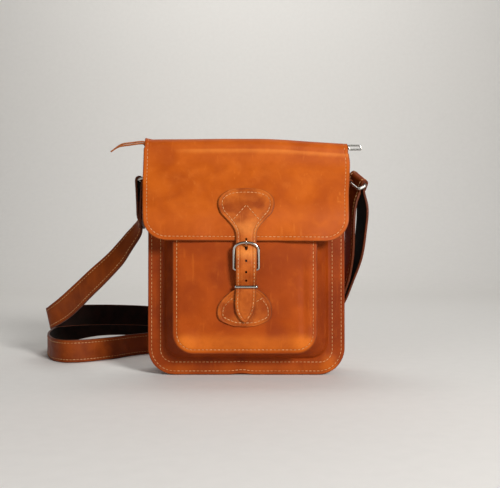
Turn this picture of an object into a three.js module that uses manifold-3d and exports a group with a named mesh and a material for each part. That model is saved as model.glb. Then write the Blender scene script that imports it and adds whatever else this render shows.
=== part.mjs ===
// Leather crossbody bag with a front pocket, a full flap closed by a buckled strap, and a long shoulder strap.
// Millimetres, +Z up, front towards -Y. Origin: middle of the base, on the surface that the bag stands on.
import * as THREE from 'three';
import Module from 'manifold-3d';
import { mergeVertices } from 'three/addons/utils/BufferGeometryUtils.js';

const wasm = await Module();
wasm.setup();

// Body
const bagWidth = 250;
const bagHeight = 302;
const bagDepth = 60;
const leather = 2;
const clearance = 0.3;
const cornerRadius = 34;
const panelLift = 0.6;
const mouthDrop = 14;
const flangeWidth = 8.5;
const gussetBow = 3;
const gussetDrop = 3;
const baseFlat = 24;

// Front pocket
const pocketWidth = 178;
const pocketDepth = 32;
const pocketFoot = 31;
const pocketCover = 26;
const pocketRadius = 26;
const pocketLean = 2;
const pocketFlange = 9;
const pocketSeamPlay = 0.6;
const borderWidth = 21;

// Flap
const flapDrop = 132;
const flapOverhang = 1.5;
const shoulderOverhang = 4.5;
const flapRadius = 29;
const flapEase = 2;
const topRadius = 12;
const topSag = 6.5;

// Closing strap, buckle and keeper
const closureWidth = 25;
const closureThickness = 2.5;
const spoonWidth = 69.8;
const spoonLength = 65;
const spoonRise = 65.7;
const tipDrop = 100;
const tipLength = 22;
const holeDiameter = 2.8;
const slotLength = 7;
const slotWidth = 4;
const frameWire = 3.6;
const frameWidth = 33.8;
const frameHeight = 36.4;
const frameArch = 9;
const pinDrop = 35;
const pinStandoff = 7.5;
const prongWire = 2.4;
const chapeWidth = 67;
const chapeDrop = 105.3;
const chapeNeckPlay = 1.2;
const keeperHeight = 3;
const keeperBand = 1.5;
const keeperDrop = 56;
const keeperSlack = 0.6;
const tipRest = 20;
const keeperRise = 8;

// Zip
const tapeThickness = 1.2;
const tapeOverhang = 4;
const tapeEdge = 2.5;
const sliderLength = 12;
const sliderWidth = 8;
const sliderHeight = 2.6;
const pullLength = 22;
const pullNeck = 4;
const pullWidth = 7.6;
const pullThickness = 1.6;
const thongWidth = 3.6;
const thongThickness = 1.4;
const thongLength = 48;
const thongRise = 8;

// Shoulder strap and its rings
const strapWidth = 32;
const strapThickness = 3.2;
const floorPlay = 0.3;
const ringWire = 3.6;
const ringPlay = 1.4;
const ringReach = 15.4;
const rollExit = 15;
const tabWidth = 15;
const tabHeight = 44;

// Places that follow from the sizes
const frontFace = -bagDepth / 2;
const backFace = bagDepth / 2;
const mouthHeight = bagHeight - mouthDrop;
const pocketFace = frontFace - pocketDepth;
const flapFace = pocketFace - clearance - leather - flapEase;
const flapFoot = bagHeight - flapDrop;
const flapWidth = bagWidth + 2 * flapOverhang;
const shoulderWidth = bagWidth + 2 * shoulderOverhang;
const pocketTop = flapFoot + pocketCover;
const spoonTop = flapFoot + spoonRise;
const tipHeight = flapFoot - tipDrop;
const pinHeight = flapFoot - pinDrop;
const chapeFoot = flapFoot - chapeDrop;
const keeperLevel = flapFoot - keeperDrop;
const chapeLength = keeperLevel + keeperHeight / 2 + chapeNeckPlay - chapeFoot;
const chapeFace = pocketFace - clearance - leather;
const halfClosure = closureWidth / 2;
const barRadius = frameWire / 2;
const prongRadius = prongWire / 2;
const pinDepth = pocketFace - pinStandoff;
const cornerOfBar = (frameWidth - frameWire) / 2 - halfClosure - clearance;
const topBarHeight = pinHeight + frameHeight - frameWire;
const innerWall = bagWidth / 2 - flangeWidth - gussetBow;

const V = (x, y, z) => new THREE.Vector3(x, y, z);

// Smooth value of one column of a table at place t of its key column.
function smooth(table, key, column, t) {
  const last = table.length - 1;
  if (t <= table[0][key]) return table[0][column];
  if (t >= table[last][key]) return table[last][column];
  let i = 0;
  while (table[i + 1][key] < t) i += 1;
  const a = table[i];
  const b = table[i + 1];
  const span = b[key] - a[key];
  const before = table[Math.max(i - 1, 0)];
  const after = table[Math.min(i + 2, last)];
  const slopeA = (b[column] - before[column]) / (b[key] - before[key]);
  const slopeB = (after[column] - a[column]) / (after[key] - a[key]);
  const u = (t - a[key]) / span;
  const rise = b[column] - a[column];
  const start = Math.sign(slopeA) === Math.sign(rise) ? slopeA * span : 0;
  const end = Math.sign(slopeB) === Math.sign(rise) ? slopeB * span : 0;
  return a[column] + start * u + (3 * rise - 2 * start - end) * u * u + (start + end - 2 * rise) * u ** 3;
}

const mix = (a, b, t) => a + (b - a) * t;
const ease = (t) => THREE.MathUtils.smoothstep(t, 0, 1);

// Evenly spaced shares from 0 to 1.
const shares = (count) => Array.from({ length: count + 1 }, (_, i) => i / count);

// Closed geometry from triangles, turned so that its faces point out.
function closedGeometry(points, faces) {
  let volume = 0;
  for (const [a, b, c] of faces) volume += points[a].dot(V(0, 0, 0).crossVectors(points[b], points[c]));
  const order = volume < 0 ? faces.map(([a, b, c]) => [a, c, b]) : faces;
  const geometry = new THREE.BufferGeometry().setFromPoints(points);
  geometry.setIndex(order.flat());
  return geometry;
}

// Leather sheet: a grid of points on its grain side, and its flesh side one thickness behind.
function sheet(grain, thickness, side = 1) {
  const rows = grain.length;
  const columns = grain[0].length;
  const cells = [];
  for (let i = 0; i < rows - 1; i += 1) {
    for (let j = 0; j < columns - 1; j += 1) {
      const across = V(0, 0, 0).subVectors(grain[i + 1][j + 1], grain[i][j]);
      const other = V(0, 0, 0).subVectors(grain[i][j + 1], grain[i + 1][j]);
      cells.push({ i, j, normal: across.cross(other).normalize() });
    }
  }
  const cellAt = (i, j) => cells[i * (columns - 1) + j];
  const flesh = grain.map((row, i) => row.map((point, j) => {
    const near = [];
    for (const a of [i - 1, i]) {
      for (const b of [j - 1, j]) {
        if (a >= 0 && b >= 0 && a < rows - 1 && b < columns - 1) near.push(cellAt(a, b).normal);
      }
    }
    const normal = near.reduce((sum, n) => sum.add(n), V(0, 0, 0)).normalize();
    const lean = near.reduce((least, n) => Math.min(least, n.dot(normal)), 1);
    return point.clone().addScaledVector(normal, (-side * thickness) / Math.max(lean, 0.6));
  }));
  const points = [...grain.flat(), ...flesh.flat()];
  const half = rows * columns;
  const at = (i, j) => i * columns + j;
  const faces = [];
  const quad = (a, b, c, d) => faces.push([a, b, c], [a, c, d]);
  for (const { i, j } of cells) {
    quad(at(i, j), at(i, j + 1), at(i + 1, j + 1), at(i + 1, j));
    quad(half + at(i, j), half + at(i + 1, j), half + at(i + 1, j + 1), half + at(i, j + 1));
  }
  for (let j = 0; j < columns - 1; j += 1) {
    quad(at(0, j), half + at(0, j), half + at(0, j + 1), at(0, j + 1));
    quad(at(rows - 1, j), at(rows - 1, j + 1), half + at(rows - 1, j + 1), half + at(rows - 1, j));
  }
  for (let i = 0; i < rows - 1; i += 1) {
    quad(at(i, 0), at(i + 1, 0), half + at(i + 1, 0), half + at(i, 0));
    quad(at(i, columns - 1), half + at(i, columns - 1), half + at(i + 1, columns - 1), at(i + 1, columns - 1));
  }
  return closedGeometry(points, faces);
}

// Loft through like sections, closed on itself or capped at both ends.
function loft(sections, round = false) {
  const sides = sections[0].length;
  const count = sections.length;
  const faces = [];
  for (let i = 0; i < (round ? count : count - 1); i += 1) {
    for (let j = 0; j < sides; j += 1) {
      const a = i * sides + j;
      const b = i * sides + ((j + 1) % sides);
      const next = ((i + 1) % count) - i;
      faces.push([a, b, b + next * sides], [a, b + next * sides, a + next * sides]);
    }
  }
  if (!round) {
    for (let j = 1; j < sides - 1; j += 1) {
      faces.push([0, j + 1, j]);
      faces.push([(count - 1) * sides, (count - 1) * sides + j, (count - 1) * sides + j + 1]);
    }
  }
  return closedGeometry(sections.flat(), faces);
}

// Round wire along points, with its sections square to the path.
function wire(points, radius, sides, round = false, start = V(0, 0, 1)) {
  const count = points.length;
  let up = start.clone();
  const sections = points.map((point, i) => {
    const before = points[round ? (i - 1 + count) % count : Math.max(i - 1, 0)];
    const after = points[round ? (i + 1) % count : Math.min(i + 1, count - 1)];
    const along = V(0, 0, 0).subVectors(after, before).normalize();
    up = up.addScaledVector(along, -up.dot(along)).normalize();
    const out = V(0, 0, 0).crossVectors(along, up);
    return shares(sides).slice(0, sides).map((share) => {
      const angle = share * Math.PI * 2;
      return point.clone()
        .addScaledVector(up, radius * Math.cos(angle))
        .addScaledVector(out, radius * Math.sin(angle));
    });
  });
  return loft(sections, round);
}

// Flat band along stations {centre, width}: width is the direction from one edge to the other.
function band(stations, width, thickness) {
  const last = stations.length - 1;
  return loft(stations.map(({ centre, width: direction }, i) => {
    const before = stations[Math.max(i - 1, 0)].centre;
    const after = stations[Math.min(i + 1, last)].centre;
    const along = V(0, 0, 0).subVectors(after, before).normalize();
    const across = direction.clone().addScaledVector(along, -direction.dot(along)).normalize();
    const out = V(0, 0, 0).crossVectors(across, along);
    return [[-1, -1], [1, -1], [1, 1], [-1, 1]].map(([a, b]) => centre.clone()
      .addScaledVector(across, (a * width) / 2)
      .addScaledVector(out, (b * thickness) / 2));
  }));
}

function solid(geometry) {
  const plain = geometry.clone();
  plain.deleteAttribute('normal');
  plain.deleteAttribute('uv');
  const merged = mergeVertices(plain, 1e-4);
  return new wasm.Manifold(new wasm.Mesh({
    numProp: 3,
    vertProperties: merged.attributes.position.array,
    triVerts: new Uint32Array(merged.index.array),
  }));
}

function geometryOf(manifold) {
  const mesh = manifold.getMesh();
  const geometry = new THREE.BufferGeometry();
  geometry.setAttribute('position', new THREE.BufferAttribute(new Float32Array(mesh.vertProperties), 3));
  geometry.setIndex(new THREE.BufferAttribute(new Uint32Array(mesh.triVerts), 1));
  return geometry;
}

// Heights and half widths down a panel with round lower corners, from its top to its foot.
function panelRows(half, top, foot, radius, straight, arc) {
  const rows = shares(straight).map((share) => ({ z: mix(top, foot + radius, share), half }));
  for (const share of shares(arc).slice(1)) {
    const angle = (share * Math.PI) / 2;
    rows.push({ z: foot + radius * (1 - Math.sin(angle)), half: half - radius * (1 - Math.cos(angle)) });
  }
  return rows;
}

// U-shaped path down one side, along the bottom and up the other side.
function uPath(half, top, foot, radius) {
  const path = shares(5).map((share) => ({ x: -half, z: mix(top, foot + radius, share) }));
  for (const share of shares(6).slice(1)) {
    const angle = (share * Math.PI) / 2;
    path.push({ x: -half + radius * (1 - Math.cos(angle)), z: foot + radius * (1 - Math.sin(angle)) });
  }
  for (const share of shares(4).slice(1, 2)) path.push({ x: mix(-half + radius, half - radius, share), z: foot });
  const mirrored = path.map(({ x, z }) => ({ x: -x, z })).reverse();
  path.push({ x: 0, z: foot });
  return [...path, ...mirrored];
}

// Gusset rows: each row is one U path at its own depth.
const gussetGrid = (rows, top) => rows.map(({ half, foot, radius, y }) => uPath(half, top, foot, radius)
  .map(({ x, z }) => V(x, y, z)));

const leatherTan = { color: 0xb8612a, roughness: 0.5, metalness: 0 };
const chrome = { color: 0xc9cac8, roughness: 0.15, metalness: 1 };
const cloth = { color: 0x2b211b, roughness: 0.9, metalness: 0 };

const bag = new THREE.Group();

function piece(name, geometry, finish) {
  const mesh = new THREE.Mesh(geometry, new THREE.MeshStandardMaterial(finish));
  mesh.name = name;
  bag.add(mesh);
}

// Body walls

const panelSteps = [-1, -0.8, -0.4, 0, 0.4, 0.8, 1];

function frontPanel() {
  const rows = panelRows(bagWidth / 2, mouthHeight, panelLift, cornerRadius, 3, 8);
  return sheet(rows.map(({ z, half }) => panelSteps.map((step) => V(step * half, frontFace, z))), leather);
}

function mainGusset() {
  const half = bagWidth / 2;
  const grain = backFace - leather - clearance - leather;
  const fold = { half: half - flangeWidth, foot: flangeWidth + panelLift, radius: cornerRadius - flangeWidth };
  const front = [
    { half, foot: panelLift, radius: cornerRadius, y: -grain },
    { ...fold, y: -grain },
    { half: fold.half - gussetBow * 0.6, foot: fold.foot * 0.55, radius: fold.radius, y: mix(-baseFlat / 2, -grain, 0.55) },
    { half: innerWall, foot: 0, radius: fold.radius - gussetBow, y: -baseFlat / 2 },
  ];
  const back = front.map((row) => ({ ...row, y: -row.y })).reverse();
  return sheet(gussetGrid([...front, ...back], mouthHeight - gussetDrop), leather);
}

// Outer surface of the flap's front: drop and reach are shares of the flap's drop and of its reach forwards.
const flapSlope = [
  { drop: 0.12, reach: 0, half: 1 },
  { drop: 0.25, reach: 0.12, half: 1 },
  { drop: 0.4, reach: 0.36, half: 0.9 },
  { drop: 0.55, reach: 0.62, half: 0.6 },
  { drop: 0.68, reach: 0.84, half: 0.3 },
  { drop: 0.78, reach: 0.95, half: 0.1 },
  { drop: 1, reach: 1, half: 0 },
];
const flapStart = frontFace - clearance - leather * 2;
const flapY = (z) => mix(flapStart, flapFace, smooth(flapSlope, 'drop', 'reach', (bagHeight - z) / flapDrop));
const flapHalf = (z) => mix(flapWidth, shoulderWidth, smooth(flapSlope, 'drop', 'half', (bagHeight - z) / flapDrop)) / 2;

// How far the top has sunk along its length: shares of the half width and of the sag.
const topLine = [
  { across: -1, sag: -0.2 },
  { across: -0.92, sag: 0.12 },
  { across: -0.6, sag: 0.06 },
  { across: 0, sag: 0 },
  { across: 0.35, sag: 0.15 },
  { across: 0.6, sag: 0.5 },
  { across: 0.85, sag: 0.85 },
  { across: 1, sag: 1 },
];
const sagReach = 46;

function backAndFlap() {
  const steps = [-1, -0.95, -0.86, -0.7, -0.45, -0.2, 0, 0.2, 0.45, 0.7, 0.86, 0.95, 1];
  const back = panelRows(bagWidth / 2, mouthHeight - sagReach, panelLift, cornerRadius, 3, 7).reverse();
  const rows = back.map(({ z, half }) => ({ y: backFace, z, half }));
  const bend = bagHeight - topRadius;
  rows.push({ y: backFace, z: bend, half: shoulderWidth / 2 });
  for (const share of shares(5).slice(1)) {
    const angle = (share * Math.PI) / 2;
    const y = backFace - topRadius * (1 - Math.cos(angle));
    rows.push({ y, z: bend + topRadius * Math.sin(angle), half: shoulderWidth / 2 });
  }
  rows.push({ y: (backFace + flapStart) / 2, z: bagHeight - 1, half: shoulderWidth / 2 });
  for (const share of shares(5)) {
    const angle = (share * Math.PI) / 2;
    const y = flapStart + topRadius * (1 - Math.sin(angle));
    rows.push({ y, z: bend + topRadius * Math.cos(angle), half: shoulderWidth / 2 });
  }
  for (const share of shares(9).slice(1)) {
    const z = mix(bend, flapFoot + flapRadius, share);
    rows.push({ y: flapY(z), z, half: flapHalf(z) });
  }
  for (const share of shares(7).slice(1)) {
    const angle = (share * Math.PI) / 2;
    const z = flapFoot + flapRadius * (1 - Math.sin(angle));
    rows.push({ y: flapY(z), z, half: flapHalf(z) - flapRadius * (1 - Math.cos(angle)) });
  }
  const grid = rows.map(({ y, z, half }) => steps.map((step) => {
    const sag = topSag * smooth(topLine, 'across', 'sag', step) * ease((z - bend + sagReach) / sagReach);
    return V(step * half, y, z - sag);
  }));
  return sheet(grid, leather);
}

// Front pocket

// Under the flap the pocket's mouth leans back, and its wall with it.
const leanAt = (z) => pocketLean * ease((z - flapFoot) / pocketCover);

function pocketPanel() {
  const rows = panelRows(pocketWidth / 2, pocketTop, pocketFoot, pocketRadius, 4, 8);
  return sheet(rows.map(({ z, half }) => panelSteps.map((step) => V(step * half, pocketFace + leanAt(z), z))), leather);
}

// Wall of the pocket from its front fold to its rear fold: shares of the depth and of the splay.
const pocketWall = [
  { back: 0, splay: 0 },
  { back: 0.2, splay: 0.14 },
  { back: 0.5, splay: 0.5 },
  { back: 0.8, splay: 0.88 },
  { back: 1, splay: 1 },
];

function pocketGusset() {
  const front = pocketFace + leather + pocketSeamPlay + leather;
  const rear = frontFace - clearance - leather;
  const frontHalf = pocketWidth / 2 - pocketFlange;
  const rearHalf = bagWidth / 2 - borderWidth;
  const rows = [{ half: pocketWidth / 2, foot: pocketFoot, radius: pocketRadius, y: front }];
  for (const { back, splay } of pocketWall) {
    rows.push({
      half: mix(frontHalf, rearHalf, splay),
      foot: mix(pocketFoot + pocketFlange, panelLift + borderWidth, splay),
      radius: mix(pocketRadius - pocketFlange, cornerRadius - borderWidth * 0.6, splay),
      y: mix(front, rear, back),
    });
  }
  rows.push({ half: bagWidth / 2, foot: panelLift, radius: cornerRadius, y: rear });
  const grid = gussetGrid(rows, pocketTop);
  for (const point of grid.flat()) point.y += leanAt(point.z) * (rear - point.y) / (rear - front);
  return sheet(grid, leather);
}

// Closing strap

// Outline of the upper spoon: shares of its length from the top and of its half width.
const spoonOutline = [
  { down: 0, half: 0.02 },
  { down: 0.01, half: 0.35 },
  { down: 0.032, half: 0.576 },
  { down: 0.094, half: 0.802 },
  { down: 0.18, half: 0.946 },
  { down: 0.305, half: 1 },
  { down: 0.412, half: 0.951 },
  { down: 0.485, half: 0.891 },
  { down: 0.594, half: 0.7 },
  { down: 0.717, half: 0.5 },
  { down: 0.794, half: 0.41 },
  { down: 0.88, half: 0.366 },
  { down: 1, half: 0.358 },
];

// Back of the closing strap, from the flap's edge to its tip.
const strapBehindPin = pinDepth - barRadius - clearance - prongWire - clearance;
const strapAtKeeper = pocketFace - clearance - keeperBand - clearance - leather - clearance - keeperSlack;
const closureRest = chapeFace - clearance - 0.4;
const closureRoute = [
  { z: tipHeight, y: closureRest },
  { z: tipHeight + tipRest, y: closureRest - 0.6 },
  { z: keeperLevel - keeperRise, y: strapAtKeeper + 0.4 },
  { z: keeperLevel, y: strapAtKeeper },
  { z: keeperLevel + keeperRise, y: mix(strapAtKeeper, strapBehindPin, 0.55) },
  { z: pinHeight - 3, y: strapBehindPin },
  { z: pinHeight + 6, y: strapBehindPin - 0.2 },
  { z: mix(pinHeight, topBarHeight, 0.6), y: mix(strapBehindPin, flapFace, 0.35) },
  { z: topBarHeight - 4, y: flapFace - clearance - 1.4 },
  { z: flapFoot + 2, y: flapFace - clearance - 0.4 },
  { z: flapFoot + 12, y: flapY(flapFoot + 12) - clearance },
];
const closureBack = (z) => (z > flapFoot + 12
  ? flapY(z) - clearance
  : smooth(closureRoute, 'z', 'y', z));

// Half width of the pointed tip, by its share of the tip's length.
const tipOutline = [
  { up: 0, half: 0.06 },
  { up: 0.08, half: 0.3 },
  { up: 0.3, half: 0.62 },
  { up: 0.6, half: 0.88 },
  { up: 1, half: 1 },
];

// Holes of the closing strap: shares of its reach below the flap's foot. The prong goes through a longer slot.
const strapHoles = [{ down: -0.02 }, { down: 0.234 }, { down: 0.37 }, { down: 0.475 }];
const holeHeights = strapHoles.map(({ down }) => flapFoot - down * tipDrop);
const prongHole = topBarHeight - 6;

function closureStrap() {
  const rows = shares(20).map((share) => {
    const down = share ** 1.5;
    return { z: spoonTop - down * spoonLength, half: (spoonWidth / 2) * smooth(spoonOutline, 'down', 'half', down) };
  });
  const neck = spoonTop - spoonLength;
  for (const share of shares(24).slice(1)) rows.push({ z: mix(neck, tipHeight + tipLength, share), half: halfClosure });
  for (const share of shares(6).slice(1)) {
    const up = 1 - share;
    rows.push({ z: tipHeight + up * tipLength, half: halfClosure * smooth(tipOutline, 'up', 'half', up) });
  }
  const steps = [-1, -0.5, 0, 0.5, 1];
  const grid = rows.map(({ z, half }) => steps.map((step) => V(step * half, closureBack(z) - closureThickness, z)));
  let strap = solid(sheet(grid, closureThickness));
  const across = new THREE.CylinderGeometry(holeDiameter / 2, holeDiameter / 2, closureThickness * 8, 8);
  for (const z of holeHeights) {
    strap = strap.subtract(solid(across.clone().translate(0, closureBack(z), z)));
  }
  const slot = new THREE.BoxGeometry(slotWidth, closureThickness * 8, slotLength)
    .translate(0, closureBack(prongHole), prongHole);
  return geometryOf(strap.subtract(solid(slot)));
}

// Outline of the lower spoon: shares of its length from the foot and of its half width.
const chapeOutline = [
  { up: 0, half: 0.02 },
  { up: 0.017, half: 0.4 },
  { up: 0.085, half: 0.69 },
  { up: 0.154, half: 0.9 },
  { up: 0.26, half: 0.99 },
  { up: 0.385, half: 1 },
  { up: 0.535, half: 0.952 },
  { up: 0.69, half: 0.79 },
  { up: 0.817, half: 0.585 },
  { up: 0.87, half: 0.44 },
  { up: 0.9, half: 0.376 },
  { up: 1, half: 0.372 },
];

function buckleChape() {
  const half = leather / 2;
  const lying = pocketFace - clearance - half;
  const wrap = barRadius + clearance + half;
  const atKeeper = pocketFace - clearance - keeperBand - clearance - half;
  const rows = [];
  for (const share of shares(11)) {
    const up = share ** 1.4;
    rows.push({
      y: lying,
      z: chapeFoot + up * chapeLength * 0.7,
      half: (chapeWidth / 2) * smooth(chapeOutline, 'up', 'half', up * 0.7),
    });
  }
  const lift = [
    { up: 0.8, y: mix(lying, atKeeper, 0.75) },
    { up: 0.9, y: atKeeper },
    { up: 1, y: atKeeper - 0.5 },
  ];
  for (const { up, y } of lift) {
    rows.push({ y, z: chapeFoot + up * chapeLength, half: (chapeWidth / 2) * smooth(chapeOutline, 'up', 'half', up) });
  }
  const rise = pinHeight - chapeFoot - chapeLength;
  for (const share of [0.35, 0.7]) {
    rows.push({
      y: mix(atKeeper - 0.5, pinDepth - wrap, ease(share)),
      z: chapeFoot + chapeLength + rise * share,
      half: halfClosure,
    });
  }
  for (const share of shares(7)) {
    const angle = share * Math.PI;
    rows.push({ y: pinDepth - wrap * Math.cos(angle), z: pinHeight + wrap * Math.sin(angle), half: halfClosure });
  }
  rows.push({ y: lying - 1.2, z: pinHeight - 9, half: halfClosure });
  rows.push({ y: lying, z: keeperLevel + keeperHeight + 3, half: halfClosure });
  const steps = [-1, -0.5, 0, 0.5, 1];
  const middle = rows.map(({ y, z, half: reach }) => steps.map((step) => V(step * reach, y, z)));
  const outer = middle.map((row, i) => row.map((point) => {
    const before = rows[Math.max(i - 1, 0)];
    const after = rows[Math.min(i + 1, rows.length - 1)];
    const along = V(0, after.y - before.y, after.z - before.z).normalize();
    return point.clone().addScaledVector(V(0, -along.z, along.y), half);
  }));
  const folded = solid(sheet(outer, leather, -1));
  const slot = new THREE.BoxGeometry(prongWire + 1.6, pinStandoff * 4, wrap + 9)
    .translate(0, pinDepth, pinHeight + (wrap + 9) / 2 - 7);
  return geometryOf(folded.subtract(solid(slot)));
}

const round = (radius) => ({ across: radius, up: radius });

// Points of a rounded rectangle's middle line in a plane given by its two directions.
function roundedLoop(centre, across, up, halfAcross, halfUp, upper, lower, arc) {
  const points = [];
  const corners = [[1, 1, 0], [-1, 1, 1], [-1, -1, 2], [1, -1, 3]];
  for (const [a, b, turn] of corners) {
    const corner = b > 0 ? upper : lower;
    for (const share of shares(arc)) {
      const angle = ((turn + share) * Math.PI) / 2;
      points.push(centre.clone()
        .addScaledVector(across, a * (halfAcross - corner.across) + corner.across * Math.cos(angle))
        .addScaledVector(up, b * (halfUp - corner.up) + corner.up * Math.sin(angle)));
    }
  }
  return points;
}

// Furthest forward that the closing strap's front comes within a reach of a height.
const closureFront = (z, reach) => Math.min(...[-1, -0.5, 0, 0.5, 1].map((step) => closureBack(z + step * reach)))
  - closureThickness;
const topBarDepth = closureFront(topBarHeight, frameArch * 0.65) - clearance - barRadius;

function buckleFrame() {
  const bottom = V(0, pinDepth, pinHeight);
  const top = V(0, topBarDepth, topBarHeight);
  const up = V(0, 0, 0).subVectors(top, bottom);
  const height = up.length();
  const centre = bottom.clone().addScaledVector(up, 0.5);
  const half = (frameWidth - frameWire) / 2;
  const arch = { across: half * 0.9, up: frameArch };
  const loop = roundedLoop(centre, V(1, 0, 0), up.clone().normalize(), half, height / 2, arch, round(cornerOfBar), 6);
  return wire(loop, barRadius, 8, true, V(0, 1, 0));
}

function buckleProng() {
  const hook = barRadius + clearance + prongRadius;
  const points = shares(6).map((share) => {
    const angle = mix(-0.45, 1.5, share) * Math.PI - Math.PI / 2;
    return V(0, pinDepth + hook * Math.cos(-angle - Math.PI / 2), pinHeight + hook * Math.sin(-angle - Math.PI / 2));
  });
  points.reverse();
  const over = topBarDepth - barRadius - clearance - prongRadius;
  const shaft = pinDepth - 0.2;
  const rise = [
    V(0, shaft, mix(pinHeight, topBarHeight, 0.36)),
    V(0, closureBack(prongHole - 8) + clearance + prongRadius * 2.8, prongHole - 8),
    V(0, closureBack(prongHole) - closureThickness / 2, prongHole - 0.6),
    V(0, over, topBarHeight - 1.5),
    V(0, over, topBarHeight + 1.2),
  ];
  const route = new THREE.CatmullRomCurve3([...points.slice(-2), ...rise]).getPoints(14).slice(2);
  return wire([...points, ...route.slice(3)], prongRadius, 8, false, V(1, 0, 0));
}

function strapKeeper() {
  const half = halfClosure + 0.7 + keeperBand / 2;
  const back = pocketFace - clearance - keeperBand / 2;
  const front = closureFront(keeperLevel, keeperHeight) - clearance - keeperBand / 2;
  const centre = V(0, (front + back) / 2, keeperLevel);
  const loop = roundedLoop(centre, V(1, 0, 0), V(0, 1, 0), half, Math.abs(front - back) / 2, round(keeperBand), round(keeperBand), 2);
  const count = loop.length;
  return loft(loop.map((point, i) => {
    const along = V(0, 0, 0).subVectors(loop[(i + 1) % count], loop[(i + count - 1) % count]).normalize();
    const out = V(0, 0, 0).crossVectors(along, V(0, 0, 1));
    return [[-1, -1], [1, -1], [1, 1], [-1, 1]].map(([a, b]) => point.clone()
      .addScaledVector(out, (a * keeperBand) / 2)
      .add(V(0, 0, (b * keeperHeight) / 2)));
  }), true);
}

// Zip

const tapeHeight = mouthHeight + clearance;
const tapeEnd = bagWidth / 2 + tapeOverhang;

function zipTape() {
  const front = frontFace;
  const back = backFace - leather - tapeEdge;
  const tape = new THREE.BoxGeometry(tapeEnd * 2, back - front, tapeThickness);
  return tape.translate(0, (front + back) / 2, tapeHeight + tapeThickness / 2);
}

const sliderFloor = tapeHeight + tapeThickness + clearance;
const sliderReach = tapeEnd - sliderLength / 2;

function zipSlider(side) {
  const body = new THREE.CylinderGeometry(sliderWidth / 2, sliderWidth / 2, sliderHeight, 12);
  body.rotateX(Math.PI / 2);
  body.scale(sliderLength / sliderWidth, 1, 1);
  return body.translate(side * sliderReach, 0, sliderFloor + sliderHeight / 2);
}

// The pull lies outwards from its slider, with a long slot through it.
const pullStart = Math.max(tapeEnd, shoulderWidth / 2) + clearance;

function zipPull() {
  const outline = new THREE.Shape();
  const half = pullWidth / 2;
  outline.moveTo(0, -pullNeck / 2);
  outline.lineTo(pullNeck, -pullNeck / 2);
  outline.lineTo(pullNeck, -half);
  outline.lineTo(pullLength - half, -half);
  outline.absarc(pullLength - half, 0, half, -Math.PI / 2, Math.PI / 2, false);
  outline.lineTo(pullNeck, half);
  outline.lineTo(pullNeck, pullNeck / 2);
  outline.lineTo(0, pullNeck / 2);
  const slot = new THREE.Path();
  slot.moveTo(pullNeck + half * 0.5, -half * 0.4);
  slot.lineTo(pullLength - half, -half * 0.4);
  slot.lineTo(pullLength - half, half * 0.4);
  slot.lineTo(pullNeck + half * 0.5, half * 0.4);
  outline.holes.push(slot);
  const pull = new THREE.ExtrudeGeometry(outline, { depth: pullThickness, bevelEnabled: false, curveSegments: 5 });
  pull.rotateX(Math.PI / 2);
  return pull.translate(pullStart, pullThickness / 2, sliderFloor + pullWidth / 2 + 0.4);
}

// The two thongs are one folded lace that leaves the slider outwards: shares of the lace's length and droop.
const thongRoute = [
  { out: 0.02, back: 0, rise: 0.1 },
  { out: 0.09, back: 0.02, rise: 0.95 },
  { out: 0.2, back: 0.05, rise: 1.05 },
  { out: 0.45, back: 0.12, rise: 0.9 },
  { out: 0.78, back: 0.2, rise: 0.62 },
  { out: 1, back: 0.3, rise: -0.15 },
];

function zipThong() {
  const start = tapeEnd + clearance + thongThickness;
  const level = sliderFloor + thongWidth / 2;
  const strand = (spread, length) => thongRoute.map(({ out, back, rise }, i) => V(
    -start - out * length,
    back * thongWidth + spread * (1 + i * 0.5),
    level + rise * thongRise - (spread > 0 ? 0 : i * 0.4),
  ));
  const first = strand(-thongThickness * 0.8, thongLength);
  const second = strand(thongThickness * 0.8, thongLength * 0.94);
  const route = [...first.reverse(), V(-start + thongThickness / 2, 0, level), ...second];
  const curve = new THREE.CatmullRomCurve3(route);
  const stations = curve.getPoints(36).map((centre) => ({ centre, width: V(0, 0, 1) }));
  return band(stations, thongWidth, thongThickness);
}

// Rings and the shoulder strap

// The right ring hangs askew, the left one straight. Places are shares of the bag's width and height.
const rings = {
  left: { side: -1, out: 0.558, back: 0, height: 0.828, across: V(0, 1, 0), reach: V(-0.95, 0, -0.31), roll: 1, shift: 0 },
  right: { side: 1, out: 0.592, back: -0.004, height: 0.8356, across: V(-0.374, 0.78, 0.497), reach: V(0.869, 0.108, 0.484), roll: 1, shift: 0.5 },
};
const ringSpan = ringReach - ringWire;

// Middle of the bar that the strap hangs on, and of the bar in the tab.
const strapBar = ({ side, out, back, height }) => V(side * out * bagWidth, back * bagWidth, height * bagHeight);
const ringAxis = (ring) => ring.across.clone().normalize();
const ringOutwards = (ring) => ring.reach.clone().addScaledVector(ringAxis(ring), -ring.reach.dot(ringAxis(ring))).normalize();
const tabBar = (ring) => strapBar(ring)
  .addScaledVector(ringOutwards(ring), -ringSpan)
  .addScaledVector(ringAxis(ring), ring.shift * (strapWidth - tabWidth));

function ringLoop(ring) {
  const across = ringAxis(ring);
  const reach = ringOutwards(ring);
  const centre = strapBar(ring).addScaledVector(reach, -ringSpan / 2);
  const half = (strapWidth + ringWire) / 2 + ringPlay;
  return wire(roundedLoop(centre, across, reach, half, ringSpan / 2, round(ringWire), round(ringWire), 3), ringWire / 2, 8, true, V(0, 0, 1));
}

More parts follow.
